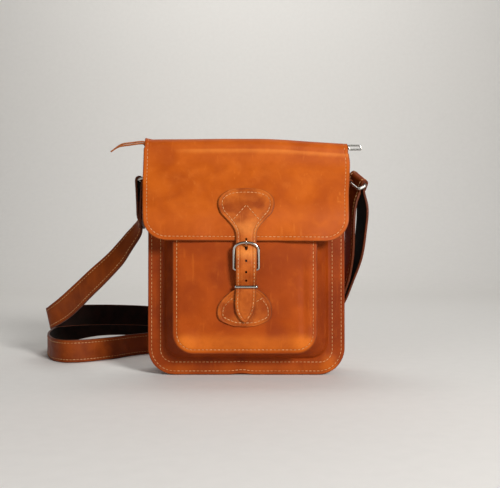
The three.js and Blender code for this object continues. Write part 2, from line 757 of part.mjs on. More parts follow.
// Tab: up the gusset, round the ring's bar, and back down over itself.
function ringTab(ring) {
  const bar = tabBar(ring);
  const wall = ring.side * (innerWall + clearance + leather / 2);
  const over = ring.side * (leather + clearance);
  const wrap = ringWire / 2 + clearance * 2 + leather / 2;
  const straight = V(0, 1, 0);
  const { tilted, up, out } = ringSquare(ring);
  const foot = bar.z - tabHeight;
  const stations = [
    { centre: V(wall, 0, foot), width: straight },
    { centre: V(wall, 0, mix(foot, bar.z, 0.4)), width: straight },
    { centre: V(wall, 0, mix(foot, bar.z, 0.8)), width: straight },
    { centre: V(mix(wall, bar.x, 0.35), bar.y * 0.35, bar.z + wrap), width: straight.clone().lerp(tilted, 0.5) },
  ];
  for (const share of shares(6)) {
    const angle = mix(0.62, -0.5, share) * Math.PI;
    stations.push({
      centre: bar.clone()
        .addScaledVector(out, wrap * Math.cos(angle))
        .addScaledVector(up, wrap * Math.sin(angle)),
      width: tilted,
    });
  }
  stations.push({ centre: V(mix(wall, bar.x, 0.5), bar.y * 0.5, bar.z - wrap * 2.8), width: straight.clone().lerp(tilted, 0.5) });
  stations.push({ centre: V(wall + over, 0, mix(foot, bar.z, 0.45)), width: straight });
  stations.push({ centre: V(wall + over, 0, foot + 1), width: straight });
  return band(stations, tabWidth, leather);
}

// Directions square to a ring's bars: up, and away from the bag.
function ringSquare(ring) {
  const tilted = ringAxis(ring);
  const up = V(0, 0, 1).addScaledVector(tilted, -tilted.z).normalize();
  const out = V(0, 0, 0).crossVectors(up, tilted);
  return { tilted, up, out: out.multiplyScalar(Math.sign(out.x * ring.side)) };
}

// Place below the roll where a leaf is clear of the ring, on its outer side (1) or its inner side (-1).
function rollFoot(ring, side) {
  const { tilted, up, out } = ringSquare(ring);
  const radius = ringWire / 2 + clearance + strapThickness / 2;
  return {
    centre: strapBar(ring).addScaledVector(out, radius * side).addScaledVector(up, -rollExit),
    width: tilted,
  };
}

// Half a turn of the strap round a ring's bar, from the inner to the outer leaf.
function strapRoll(ring, inward) {
  const bar = strapBar(ring);
  const { tilted, up, out } = ringSquare(ring);
  const inner = ringWire / 2 + clearance;
  const radius = (inner + strapThickness / 2) * ring.roll;
  const centre = bar.clone().addScaledVector(up, inner + strapThickness / 2 - radius);
  const turn = shares(8).map((share) => {
    const angle = mix(1.02, -0.02, share) * Math.PI;
    return {
      centre: centre.clone()
        .addScaledVector(out, radius * Math.cos(angle))
        .addScaledVector(up, radius * Math.sin(angle)),
      width: tilted,
    };
  });
  return inward ? turn.reverse() : turn;
}

// Route of the strap, from the left ring to the right one. Side and back are shares of the bag's width, lift is
// the height of the lower edge as a share of the bag's height, and w points from the near edge to the far edge.
const strapRoute = [
  { side: -0.566, back: 0, lift: 0.68, w: [0, 1, 0] },
  { side: -0.574, back: 0.008, lift: 0.6, w: [-0.43, 0.83, 0.37] },
  { side: -0.624, back: 0.028, lift: 0.539, w: [-0.5, 0.74, 0.46] },
  { side: -0.699, back: 0.072, lift: 0.459, w: [-0.55, 0.6, 0.59] },
  { side: -0.865, back: 0.176, lift: 0.334, w: [-0.6, 0.4, 0.69] },
  { side: -1.041, back: 0.312, lift: 0.214, w: [-0.67, 0.2, 0.71] },
  { side: -1.151, back: 0.4, lift: 0.149, w: [-0.33, 0.33, 0.88] },
  { side: -1.165, back: 0.52, lift: 0.14, w: [-0.12, 0.1, 0.98] },
  { side: -1.035, back: 0.66, lift: 0.138, w: [0, 0, 1] },
  { side: -0.812, back: 0.8, lift: 0.129, w: [0, 0, 1] },
  { side: -0.62, back: 0.88, lift: 0.115, w: [0, 0, 1] },
  { side: -0.46, back: 0.88, lift: 0.095, w: [0, 0, 1] },
  { side: -0.385, back: 0.8, lift: 0.06, w: [0, 0, 1] },
  { side: -0.43, back: 0.7, lift: 0.025, w: [0, 0, 1] },
  { side: -0.54, back: 0.64, lift: 0.004, w: [0, 0, 1] },
  { side: -0.623, back: 0.59, lift: 0, w: [0, 0, 1] },
  { side: -0.705, back: 0.508, lift: 0, w: [0, 0, 1] },
  { side: -0.766, back: 0.418, lift: 0, w: [0, 0, 1] },
  { side: -0.832, back: 0.348, lift: 0, w: [0, 0, 1] },
  { side: -0.917, back: 0.281, lift: 0, w: [0, 0, 1] },
  { side: -1.013, back: 0.256, lift: 0, w: [0, 0, 1] },
  { side: -1.091, back: 0.312, lift: 0, w: [0, 0, 1] },
  { side: -1.165, back: 0.45, lift: 0, w: [0, 0, 1] },
  { side: -1.225, back: 0.65, lift: 0.002, w: [0, 0, 1] },
  { side: -1.235, back: 0.86, lift: 0.008, w: [0, 0, 1] },
  { side: -1.176, back: 0.98, lift: 0.022, w: [0, 0, 1] },
  { side: -1.025, back: 1.035, lift: 0.045, w: [0, 0, 1] },
  { side: -0.848, back: 1.04, lift: 0.052, w: [0, 0, 1] },
  { side: -0.64, back: 1.04, lift: 0.044, w: [0, 0, 1] },
  { side: -0.4, back: 1.02, lift: 0.045, w: [0, 0, 1] },
  { side: -0.12, back: 0.9, lift: 0.06, w: [0, 0, 1] },
  { side: 0.16, back: 0.68, lift: 0.09, w: [0, 0.1, 1] },
  { side: 0.34, back: 0.44, lift: 0.14, w: [-0.1, 0.4, 0.9] },
  { side: 0.46, back: 0.27, lift: 0.205, w: [-0.15, 0.65, 0.7] },
  { side: 0.515, back: 0.155, lift: 0.29, w: [-0.22, 0.8, 0.5] },
  { side: 0.555, back: 0.085, lift: 0.39, w: [-0.2, 0.88, 0.4] },
  { side: 0.592, back: 0.04, lift: 0.49, w: [-0.2, 0.92, 0.35] },
  { side: 0.607, back: 0.016, lift: 0.59, w: [-0.22, 0.92, 0.36] },
  { side: 0.613, back: 0.008, lift: 0.69, w: [-0.26, 0.88, 0.4] },
];

// The right end comes back down inside the main strap: places as in the route.
const tailRoute = [
  { side: 0.549, back: 0.008, lift: 0.7, w: [-0.28, 0.86, 0.42] },
  { side: 0.547, back: 0.012, lift: 0.59, w: [-0.2, 0.92, 0.36] },
  { side: 0.545, back: 0.03, lift: 0.5, w: [-0.2, 0.92, 0.35] },
  { side: 0.531, back: 0.07, lift: 0.4, w: [-0.2, 0.88, 0.4] },
  { side: 0.511, back: 0.11, lift: 0.335, w: [-0.21, 0.84, 0.45] },
];

const station = ({ side, back, lift, w }) => {
  const width = V(...w).normalize();
  const height = floorPlay + lift * bagHeight + (strapWidth / 2) * Math.abs(width.z);
  return { centre: V(side * bagWidth, back * bagWidth, height), width };
};

function shoulderStrap() {
  const left = rings.left;
  const bar = strapBar(left);
  const offset = ringWire / 2 + clearance + strapThickness / 2;
  const inner = bar.x + offset;
  const leftTail = [0.62, 0.7, 0.76].map((share) => ({
    centre: V(mix(inner, bar.x + strapThickness / 2 + clearance, share < 0.75 ? 1 : 0.5), 0, share * bagHeight),
    width: V(0, 1, 0),
  }));
  const keys = [
    ...leftTail,
    ...strapRoll(left, false),
    { centre: V(bar.x - offset * 0.75, 0, 0.765 * bagHeight), width: V(0, 1, 0) },
    ...strapRoute.map(station),
    rollFoot(rings.right, 1.15),
    ...strapRoll(rings.right, true),
    rollFoot(rings.right, -1),
    ...tailRoute.map(station),
  ];
  const curve = new THREE.CatmullRomCurve3(keys.map(({ centre }) => centre), false, 'centripetal');
  const widths = new THREE.CatmullRomCurve3(keys.map(({ width }) => width), false, 'catmullrom');
  const stations = [];
  keys.slice(0, -1).forEach(({ centre }, i) => {
    const length = centre.distanceTo(keys[i + 1].centre);
    const count = Math.max(1, Math.round(length / 14));
    for (let k = 0; k < count; k += 1) {
      const t = (i + k / count) / (keys.length - 1);
      stations.push({ centre: curve.getPoint(t), width: widths.getPoint(t).normalize() });
    }
  });
  stations.push(keys[keys.length - 1]);
  return band(stations, strapWidth, strapThickness);
}

piece('front_panel', frontPanel(), leatherTan);
piece('back_and_flap', backAndFlap(), leatherTan);
piece('main_gusset', mainGusset(), leatherTan);
piece('pocket_panel', pocketPanel(), leatherTan);
piece('pocket_gusset', pocketGusset(), leatherTan);
piece('closure_strap', closureStrap(), leatherTan);
piece('buckle_chape', buckleChape(), leatherTan);
piece('buckle_frame', buckleFrame(), chrome);
piece('buckle_prong', buckleProng(), chrome);
piece('strap_keeper', strapKeeper(), chrome);
piece('zip_tape', zipTape(), cloth);
piece('zip_slider_left', zipSlider(-1), chrome);
piece('zip_slider_right', zipSlider(1), chrome);
piece('zip_pull', zipPull(), chrome);
piece('zip_thong', zipThong(), leatherTan);
for (const name of ['left', 'right']) {
  piece(`ring_${name}`, ringLoop(rings[name]), chrome);
  piece(`ring_tab_${name}`, ringTab(rings[name]), leatherTan);
}
piece('shoulder_strap', shoulderStrap(), leatherTan);

export default bag;
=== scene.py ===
"""Leather crossbody bag: every visible surface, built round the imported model. Metres, +Z up, front towards -Y."""
import math
import random

import bpy
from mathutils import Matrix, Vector, noise


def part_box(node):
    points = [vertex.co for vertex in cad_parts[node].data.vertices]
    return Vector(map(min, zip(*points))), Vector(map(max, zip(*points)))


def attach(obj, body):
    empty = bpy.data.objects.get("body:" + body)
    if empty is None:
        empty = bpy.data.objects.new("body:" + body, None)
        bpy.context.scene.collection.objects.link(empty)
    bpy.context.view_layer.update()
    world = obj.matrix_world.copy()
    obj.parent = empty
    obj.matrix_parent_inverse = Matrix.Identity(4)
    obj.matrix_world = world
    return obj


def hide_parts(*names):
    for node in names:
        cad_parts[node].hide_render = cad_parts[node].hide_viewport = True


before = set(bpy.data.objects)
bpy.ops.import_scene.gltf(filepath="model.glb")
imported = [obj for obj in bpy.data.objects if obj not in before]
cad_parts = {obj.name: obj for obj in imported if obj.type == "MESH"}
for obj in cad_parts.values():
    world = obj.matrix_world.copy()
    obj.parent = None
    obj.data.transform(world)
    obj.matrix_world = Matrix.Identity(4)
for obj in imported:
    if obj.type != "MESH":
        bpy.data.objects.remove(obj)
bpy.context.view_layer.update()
MM = 0.001

# Sizes read from the frame
panel_low, panel_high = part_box("front_panel")
flap_low, flap_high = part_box("back_and_flap")
gusset_low, gusset_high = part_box("main_gusset")
pocket_low, pocket_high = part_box("pocket_panel")
wall_low, wall_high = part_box("pocket_gusset")
closure_low, closure_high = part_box("closure_strap")
chape_low, chape_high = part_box("buckle_chape")
frame_low, frame_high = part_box("buckle_frame")
keeper_low, keeper_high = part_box("strap_keeper")
tape_low, tape_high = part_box("zip_tape")
pull_low, pull_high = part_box("zip_pull")

# Leather and gaps
LEATHER = 2 * MM
GAP = 0.3 * MM
CLOSURE_THICK = 2.5 * MM

# Body
HALF = panel_high.x
FOOT = panel_low.z
MOUTH = panel_high.z
TOP = 302 * MM
FRONT = panel_low.y
BACK = -FRONT
CORNER = 34 * MM
FLANGE = 8.5 * MM
BOW = 3 * MM
BASE_FLAT = 24 * MM
INNER_WALL = HALF - FLANGE - BOW

# Pocket
POCKET_FACE = pocket_low.y
POCKET_HALF = pocket_high.x
POCKET_FOOT = pocket_low.z
POCKET_TOP = pocket_high.z
POCKET_RADIUS = 26 * MM
POCKET_LEAN = 2 * MM
POCKET_FLANGE = 9 * MM
BORDER = 21 * MM

# Flap
FLAP_FOOT = TOP - 132 * MM
FLAP_HALF = 126.5 * MM
SHOULDER_HALF = 129.5 * MM
FLAP_RADIUS = 29 * MM
FLAP_FACE = POCKET_FACE - GAP - LEATHER - 2 * MM
FLAP_START = FRONT - GAP - 2 * LEATHER
TOP_RADIUS = 12 * MM
TOP_SAG = 6.5 * MM
SAG_REACH = 46 * MM

# Closing strap and buckle
CLOSURE_HALF = 12.5 * MM
SPOON_HALF = closure_high.x
SPOON_TOP = closure_high.z
SPOON_LENGTH = 65 * MM
TIP_FOOT = closure_low.z
TIP_LENGTH = 22 * MM
CHAPE_HALF = chape_high.x
CHAPE_FOOT = chape_low.z
CHAPE_LENGTH = 52 * MM
BAR = 1.8 * MM
FRAME_HALF = frame_high.x - BAR
PIN_Z = frame_low.z + BAR
TOP_BAR_Z = frame_high.z - BAR
FRAME_ARCH = 9 * MM
PIN_Y = POCKET_FACE - 7.5 * MM
KEEPER_Z = (keeper_low.z + keeper_high.z) / 2
KEEPER_BAND = 1.5 * MM
PRONG = 1.2 * MM

# Shoulder strap and rings
STRAP_WIDTH = 32 * MM
STRAP_THICK = 3.2 * MM
RING_WIRE = 3.6 * MM
RING_SPAN = 11.8 * MM
ROLL_EXIT = 15 * MM
RING_HALF = (STRAP_WIDTH + RING_WIRE) / 2 + 1.4 * MM
TAB_WIDTH = 15 * MM

# Stitches
PITCH = 4.9 * MM
STITCH_LENGTH = 3.6 * MM
STITCH_WIDTH = 0.8 * MM
EDGE_INSET = 4.6 * MM
BORDER_INSET = 16 * MM
FLAP_INSET = 5.2 * MM
POCKET_INSET = 5 * MM
SPOON_INSET = 5.2 * MM
STRAP_ROW_INSET = 2.8 * MM
SPOON_PITCH = 4.6 * MM
STRAP_INSET = 4.4 * MM


def mix(a, b, t):
    return a + (b - a) * t


def ease(t):
    t = min(max(t, 0.0), 1.0)
    return t * t * (3 - 2 * t)


def smooth(pairs, t):
    """Smooth value at place t of a table of (place, value) rows."""
    if t <= pairs[0][0]:
        return pairs[0][1]
    if t >= pairs[-1][0]:
        return pairs[-1][1]
    i = 0
    while pairs[i + 1][0] < t:
        i += 1
    (ta, a), (tb, b) = pairs[i], pairs[i + 1]
    before, after = pairs[max(i - 1, 0)], pairs[min(i + 2, len(pairs) - 1)]
    slope_a = (b - before[1]) / (tb - before[0])
    slope_b = (after[1] - a) / (after[0] - ta)
    span, rise = tb - ta, b - a
    start = slope_a * span if slope_a * rise > 0 else 0.0
    end = slope_b * span if slope_b * rise > 0 else 0.0
    u = (t - ta) / span
    return a + start * u + (3 * rise - 2 * start - end) * u * u + (start + end - 2 * rise) * u ** 3


def bump(t):
    """A soft hill of height 1 at 0 that has sunk to nothing at 1 and -1."""
    return max(0.0, 1 - t * t) ** 2


def wave(x, z, size, seed):
    """Slow unevenness between -1 and 1 of hand-cut leather."""
    return noise.noise(Vector((x / size, z / size, seed)))


# Shapes of the leather pieces

FLAP_SLOPE = ((0.12, 0), (0.25, 0.12), (0.4, 0.36), (0.55, 0.62), (0.68, 0.84), (0.78, 0.95), (1, 1))
FLAP_TAPER = ((0.25, 1), (0.4, 0.9), (0.55, 0.6), (0.68, 0.3), (0.78, 0.1), (1, 0))
TOP_LINE = ((-1, -0.2), (-0.92, 0.12), (-0.6, 0.06), (0, 0), (0.35, 0.15), (0.6, 0.5), (0.85, 0.85), (1, 1))


def flap_depth(z):
    return mix(FLAP_START, FLAP_FACE, smooth(FLAP_SLOPE, (TOP - z) / (TOP - FLAP_FOOT)))


def flap_half(z):
    return mix(FLAP_HALF, SHOULDER_HALF, smooth(FLAP_TAPER, (TOP - z) / (TOP - FLAP_FOOT)))


FLAP_RIGHT = ((0, 0), (0.12, 1.0), (0.2, 1.9), (0.32, 1.2), (0.58, -0.9), (0.78, -0.6), (1, 0))
FLAP_LEFT = ((0, -1.1), (0.2, -1.1), (0.58, -0.6), (1, 0))


def flap_drift(x, z):
    """How far (across, up) the cut flap strays from its plain outline."""
    side = smooth(FLAP_RIGHT if x > 0 else FLAP_LEFT, (TOP - z) / (TOP - FLAP_FOOT)) * MM
    low = ease((FLAP_FOOT + 25 * MM - z) / (25 * MM))
    return side * ease((abs(x) - 95 * MM) / (30 * MM)), -0.006 * x * low


def flap_wave(x, z):
    """How far the flap's front stands proud of its plain slope, towards the viewer."""
    down = ease((TOP - 20 * MM - z) / (60 * MM))
    away = ease((abs(x) - SPOON_HALF) / (30 * MM))
    low = ease((FLAP_FOOT + 60 * MM - z) / (60 * MM))
    flare = 2.2 * MM * ease((FLAP_FOOT + 35 * MM - z) / (35 * MM))
    return down * away * (flare + 0.9 * MM * wave(x, z, 70 * MM, 3.1) + 1.2 * MM * low * wave(x, z, 45 * MM, 7.7))


def round_distance(x, z, half, foot, radius):
    """Distance inwards from the outline of a panel with round lower corners."""
    across, down = abs(x) - (half - radius), (foot + radius) - z
    if across > 0 and down > 0:
        return radius - math.hypot(across, down)
    return radius - max(across, down)


def round_half(z, half, foot, radius):
    """Half width of such a panel at a height."""
    rise = foot + radius - z
    if rise <= 0:
        return half
    return half - radius + math.sqrt(max(radius * radius - rise * rise, 0.0))


SCRATCH = ((118, 232), (114.5, 224), (112.5, 219), (118, 217.5), (124, 217))


def scratch(x, z):
    """Faint light scuff near the flap's right edge."""
    near = 9.0
    for (ax, az), (bx, bz) in zip(SCRATCH, SCRATCH[1:]):
        a, b, p = Vector((ax, az)), Vector((bx, bz)), Vector((x, z)) * 1000
        share = min(max((p - a).dot(b - a) / (b - a).length_squared, 0), 1)
        near = min(near, (p - a.lerp(b, share)).length)
    return 0.5 * bump(near / 1.6)


def flap_rows():
    """Rows (y, z, half) from the foot of the back over the top to the flap's foot."""
    rows = []
    bend = TOP - TOP_RADIUS
    shoulder = MOUTH - SAG_REACH
    for i in range(13):
        z = FOOT + CORNER * (1 - math.cos(i / 12 * math.pi / 2))
        rows.append((BACK, z, round_half(z, HALF, FOOT, CORNER)))
    for i in range(1, 25):
        rows.append((BACK, mix(FOOT + CORNER, shoulder, i / 24), HALF))
    for i in range(1, 9):
        rows.append((BACK, mix(shoulder, bend, i / 8), mix(HALF, SHOULDER_HALF, ease(i / 8))))
    for i in range(1, 11):
        angle = i / 10 * math.pi / 2
        rows.append((BACK - TOP_RADIUS * (1 - math.cos(angle)), bend + TOP_RADIUS * math.sin(angle), SHOULDER_HALF))
    front = FLAP_START + TOP_RADIUS
    back = BACK - TOP_RADIUS
    for i in range(1, 10):
        sink = MM * math.sin(i / 10 * math.pi)
        rows.append((mix(back, front, i / 10), TOP - sink, SHOULDER_HALF))
    for i in range(11):
        angle = i / 10 * math.pi / 2
        rows.append((front - TOP_RADIUS * math.sin(angle), bend + TOP_RADIUS * math.cos(angle), SHOULDER_HALF))
    low = FLAP_FOOT + FLAP_RADIUS
    for i in range(1, 31):
        z = mix(bend, low, i / 30)
        rows.append((flap_depth(z), z, flap_half(z)))
    for i in range(1, 15):
        z = FLAP_FOOT + FLAP_RADIUS * (1 - math.sin(i / 14 * math.pi / 2))
        rows.append((flap_depth(z), z, round_half(z, flap_half(z), FLAP_FOOT, FLAP_RADIUS)))
    return rows


def row_lengths(rows):
    lengths = [0.0]
    for a, b in zip(rows, rows[1:]):
        lengths.append(lengths[-1] + math.hypot(b[0] - a[0], b[1] - a[1]) + 1e-7)
    return [length / lengths[-1] for length in lengths]


def at_share(keys, rows, t):
    """Row at share t of the way along a list of rows."""
    if t <= 0:
        return rows[0]
    if t >= 1:
        return rows[-1]
    i = 0
    while keys[i + 1] < t:
        i += 1
    u = (t - keys[i]) / (keys[i + 1] - keys[i])
    return tuple(mix(a, b, u) for a, b in zip(rows[i], rows[i + 1]))


def top_sag(share, z):
    return TOP_SAG * smooth(TOP_LINE, share) * ease((z - (TOP - TOP_RADIUS) + SAG_REACH) / SAG_REACH)


# Building blocks

def only(piece):
    bpy.ops.object.select_all(action="DESELECT")
    piece.select_set(True)
    bpy.context.view_layer.objects.active = piece


def apply_modifiers(piece):
    only(piece)
    for modifier in list(piece.modifiers):
        bpy.ops.object.modifier_apply(modifier=modifier.name)


def recalculate(piece):
    only(piece)
    bpy.ops.object.mode_set(mode="EDIT")
    bpy.ops.mesh.select_all(action="SELECT")
    bpy.ops.mesh.remove_doubles(threshold=1e-6)
    bpy.ops.mesh.normals_make_consistent(inside=False)
    bpy.ops.object.mode_set(mode="OBJECT")


def flip(piece):
    only(piece)
    bpy.ops.object.mode_set(mode="EDIT")
    bpy.ops.mesh.select_all(action="SELECT")
    bpy.ops.mesh.flip_normals()
    bpy.ops.object.mode_set(mode="OBJECT")


def hide(name, columns, rows, place, facing, materials, thickness=LEATHER, edge_round=0.5 * MM, offset=-1.0):
    """A cut piece of leather. place(u, v) gives a spot on its grain side, how far that is from its cut edge, and how
    much lighter (up to 1) or darker (down to -1) it is painted there, by real scuffs and by painted highlights and
    shade."""
    bpy.ops.object.select_all(action="DESELECT")
    bpy.ops.mesh.primitive_grid_add(x_subdivisions=columns, y_subdivisions=rows, size=2)
    piece = bpy.context.object
    piece.name = name
    mesh = piece.data
    edge = mesh.attributes.new("cut_edge", "FLOAT", "POINT")
    # Per-point amount of real scuffs together with painted highlights and painted shade
    wear_and_painted_light = mesh.attributes.new("wear_and_painted_light", "FLOAT", "POINT")
    for vertex in mesh.vertices:
        spot, distance, worn_and_painted_light = place(vertex.co.x, (vertex.co.y + 1) / 2)
        vertex.co = spot
        edge.data[vertex.index].value = distance * 1000
        wear_and_painted_light.data[vertex.index].value = worn_and_painted_light
    mesh.update()
    middle = mesh.polygons[(rows // 2) * columns + columns // 2]
    if middle.normal.dot(facing(middle.center)) < 0:
        flip(piece)
    for material in materials:
        mesh.materials.append(material)
    wall = piece.modifiers.new("thickness", "SOLIDIFY")
    wall.thickness = thickness
    wall.offset = offset
    wall.use_even_offset = True
    wall.thickness_clamp = 0
    wall.material_offset = 1
    wall.material_offset_rim = 2
    rim = piece.modifiers.new("rubbed edge", "BEVEL")
    rim.width = edge_round
    rim.segments = 2
    rim.limit_method = "ANGLE"
    rim.angle_limit = math.radians(60)
    apply_modifiers(piece)
    bpy.ops.object.shade_smooth_by_angle(angle=math.radians(50))
    return piece


def loop_tube(name, points, ups, half_up, half_out, material, closed=True, sides=16, square=1.0):
    """A bar bent along points. Its section reaches half_up along ups and half_out square to it."""
    bpy.ops.object.select_all(action="DESELECT")
    count = len(points)
    bpy.ops.mesh.primitive_torus_add(major_segments=count, minor_segments=sides, major_radius=1, minor_radius=0.3)
    piece = bpy.context.object
    piece.name = name
    for i, point in enumerate(points):
        before = points[(i - 1) % count] if closed else points[max(i - 1, 0)]
        after = points[(i + 1) % count] if closed else points[min(i + 1, count - 1)]
        along = (after - before).normalized()
        up = ups[i] if isinstance(ups, list) else ups
        up = (up - along * up.dot(along)).normalized()
        out = along.cross(up)
        shrink = 1.0
        if not closed and i in (0, count - 1):
            shrink = 0.02
        for j in range(sides):
            angle = j / sides * math.tau
            c, s = math.cos(angle), math.sin(angle)
            a = math.copysign(abs(c) ** square, c) * half_up * shrink
            b = math.copysign(abs(s) ** square, s) * half_out * shrink
            piece.data.vertices[i * sides + j].co = point + up * a + out * b
    if not closed:
        only(piece)
        ends = {j for j in range(sides)} | {(count - 1) * sides + j for j in range(sides)}
        bpy.ops.object.mode_set(mode="EDIT")
        bpy.ops.mesh.select_all(action="DESELECT")
        bpy.ops.object.mode_set(mode="OBJECT")
        for polygon in piece.data.polygons:
            joins = set(polygon.vertices)
            if joins <= ends and any(v < sides for v in joins) and any(v >= sides for v in joins):
                polygon.select = True
        bpy.ops.object.mode_set(mode="EDIT")
        bpy.ops.mesh.select_mode(type="FACE")
        bpy.ops.mesh.delete(type="ONLY_FACE")
        bpy.ops.mesh.select_all(action="SELECT")
        bpy.ops.mesh.remove_doubles(threshold=5e-5)
        bpy.ops.mesh.fill_holes(sides=sides)
        bpy.ops.object.mode_set(mode="OBJECT")
    recalculate(piece)
    piece.data.materials.append(material)
    bpy.ops.object.shade_smooth_by_angle(angle=math.radians(50))
    return piece


def repeat(name, base, places, material):
    """One mesh that holds a copy of base at each place (spot, along, out, length)."""
    spots = [v.co.copy() for v in base.data.vertices]
    faces = [tuple(p.vertices) for p in base.data.polygons]
    bpy.data.objects.remove(base)
    points, polygons = [], []
    for spot, along, out, length in places:
        along = along.normalized()
        out = (out - along * out.dot(along)).normalized()
        side = out.cross(along)
        start = len(points)
        points += [spot + along * (p.x * length) + side * p.y + out * p.z for p in spots]
        polygons += [tuple(start + v for v in face) for face in faces]
    mesh = bpy.data.meshes.new(name)
    mesh.from_pydata(points, [], polygons)
    piece = bpy.data.objects.new(name, mesh)
    bpy.context.scene.collection.objects.link(piece)
    mesh.materials.append(material)
    only(piece)
    bpy.ops.object.shade_smooth()
    return piece


def walk(points, pitch, start=0.5):
    """Evenly spaced (index share, spot, along) on a polyline."""
    lengths = [0.0]
    for a, b in zip(points, points[1:]):
        lengths.append(lengths[-1] + (b - a).length)
    count = max(1, int(lengths[-1] / pitch))
    step = lengths[-1] / count
    found, i = [], 0
    for k in range(count):
        target = (k + start) * step
        while i < len(points) - 2 and lengths[i + 1] < target:
            i += 1
        u = (target - lengths[i]) / max(lengths[i + 1] - lengths[i], 1e-9)
        found.append((i + u, points[i].lerp(points[i + 1], u), (points[i + 1] - points[i]).normalized()))
    return found


# Finishes

def linear(hex_colour):
    """Linear colour of an sRGB hex value."""
    channels = [int(hex_colour[i:i + 2], 16) / 255 for i in (1, 3, 5)]
    return tuple(c / 12.92 if c <= 0.04045 else ((c + 0.055) / 1.055) ** 2.4 for c in channels) + (1.0,)


def add(tree, kind, inputs=None, **settings):
    """Adds a node with its settings, and links or sets its inputs."""
    node = tree.nodes.new(kind)
    for key, value in settings.items():
        setattr(node, key, value)
    for socket, value in (inputs or {}).items():
        if isinstance(value, bpy.types.NodeSocket):
            tree.links.new(value, node.inputs[socket])
        else:
            node.inputs[socket].default_value = value
    return node


def new_material(name):
    material = bpy.data.materials.new(name)
    material.use_nodes = True
    tree = material.node_tree
    tree.nodes.clear()
    shader = add(tree, "ShaderNodeBsdfPrincipled")
    output = add(tree, "ShaderNodeOutputMaterial", {"Surface": shader.outputs["BSDF"]})
    return material, tree, shader, output


def between(tree, value, low, high, to_low=0.0, to_high=1.0):
    """Value from low to high, eased into to_low to to_high."""
    inputs = {"Value": value, "From Min": low, "From Max": high, "To Min": to_low, "To Max": to_high}
    return add(tree, "ShaderNodeMapRange", inputs, interpolation_type="SMOOTHSTEP").outputs["Result"]


def blend_colour(tree, factor, a, b, kind="MIX"):
    node = add(tree, "ShaderNodeMix", data_type="RGBA", blend_type=kind)
    for index, value in ((0, factor), (6, a), (7, b)):
        if isinstance(value, bpy.types.NodeSocket):
            tree.links.new(value, node.inputs[index])
        else:
            node.inputs[index].default_value = value
    return node.outputs[2]


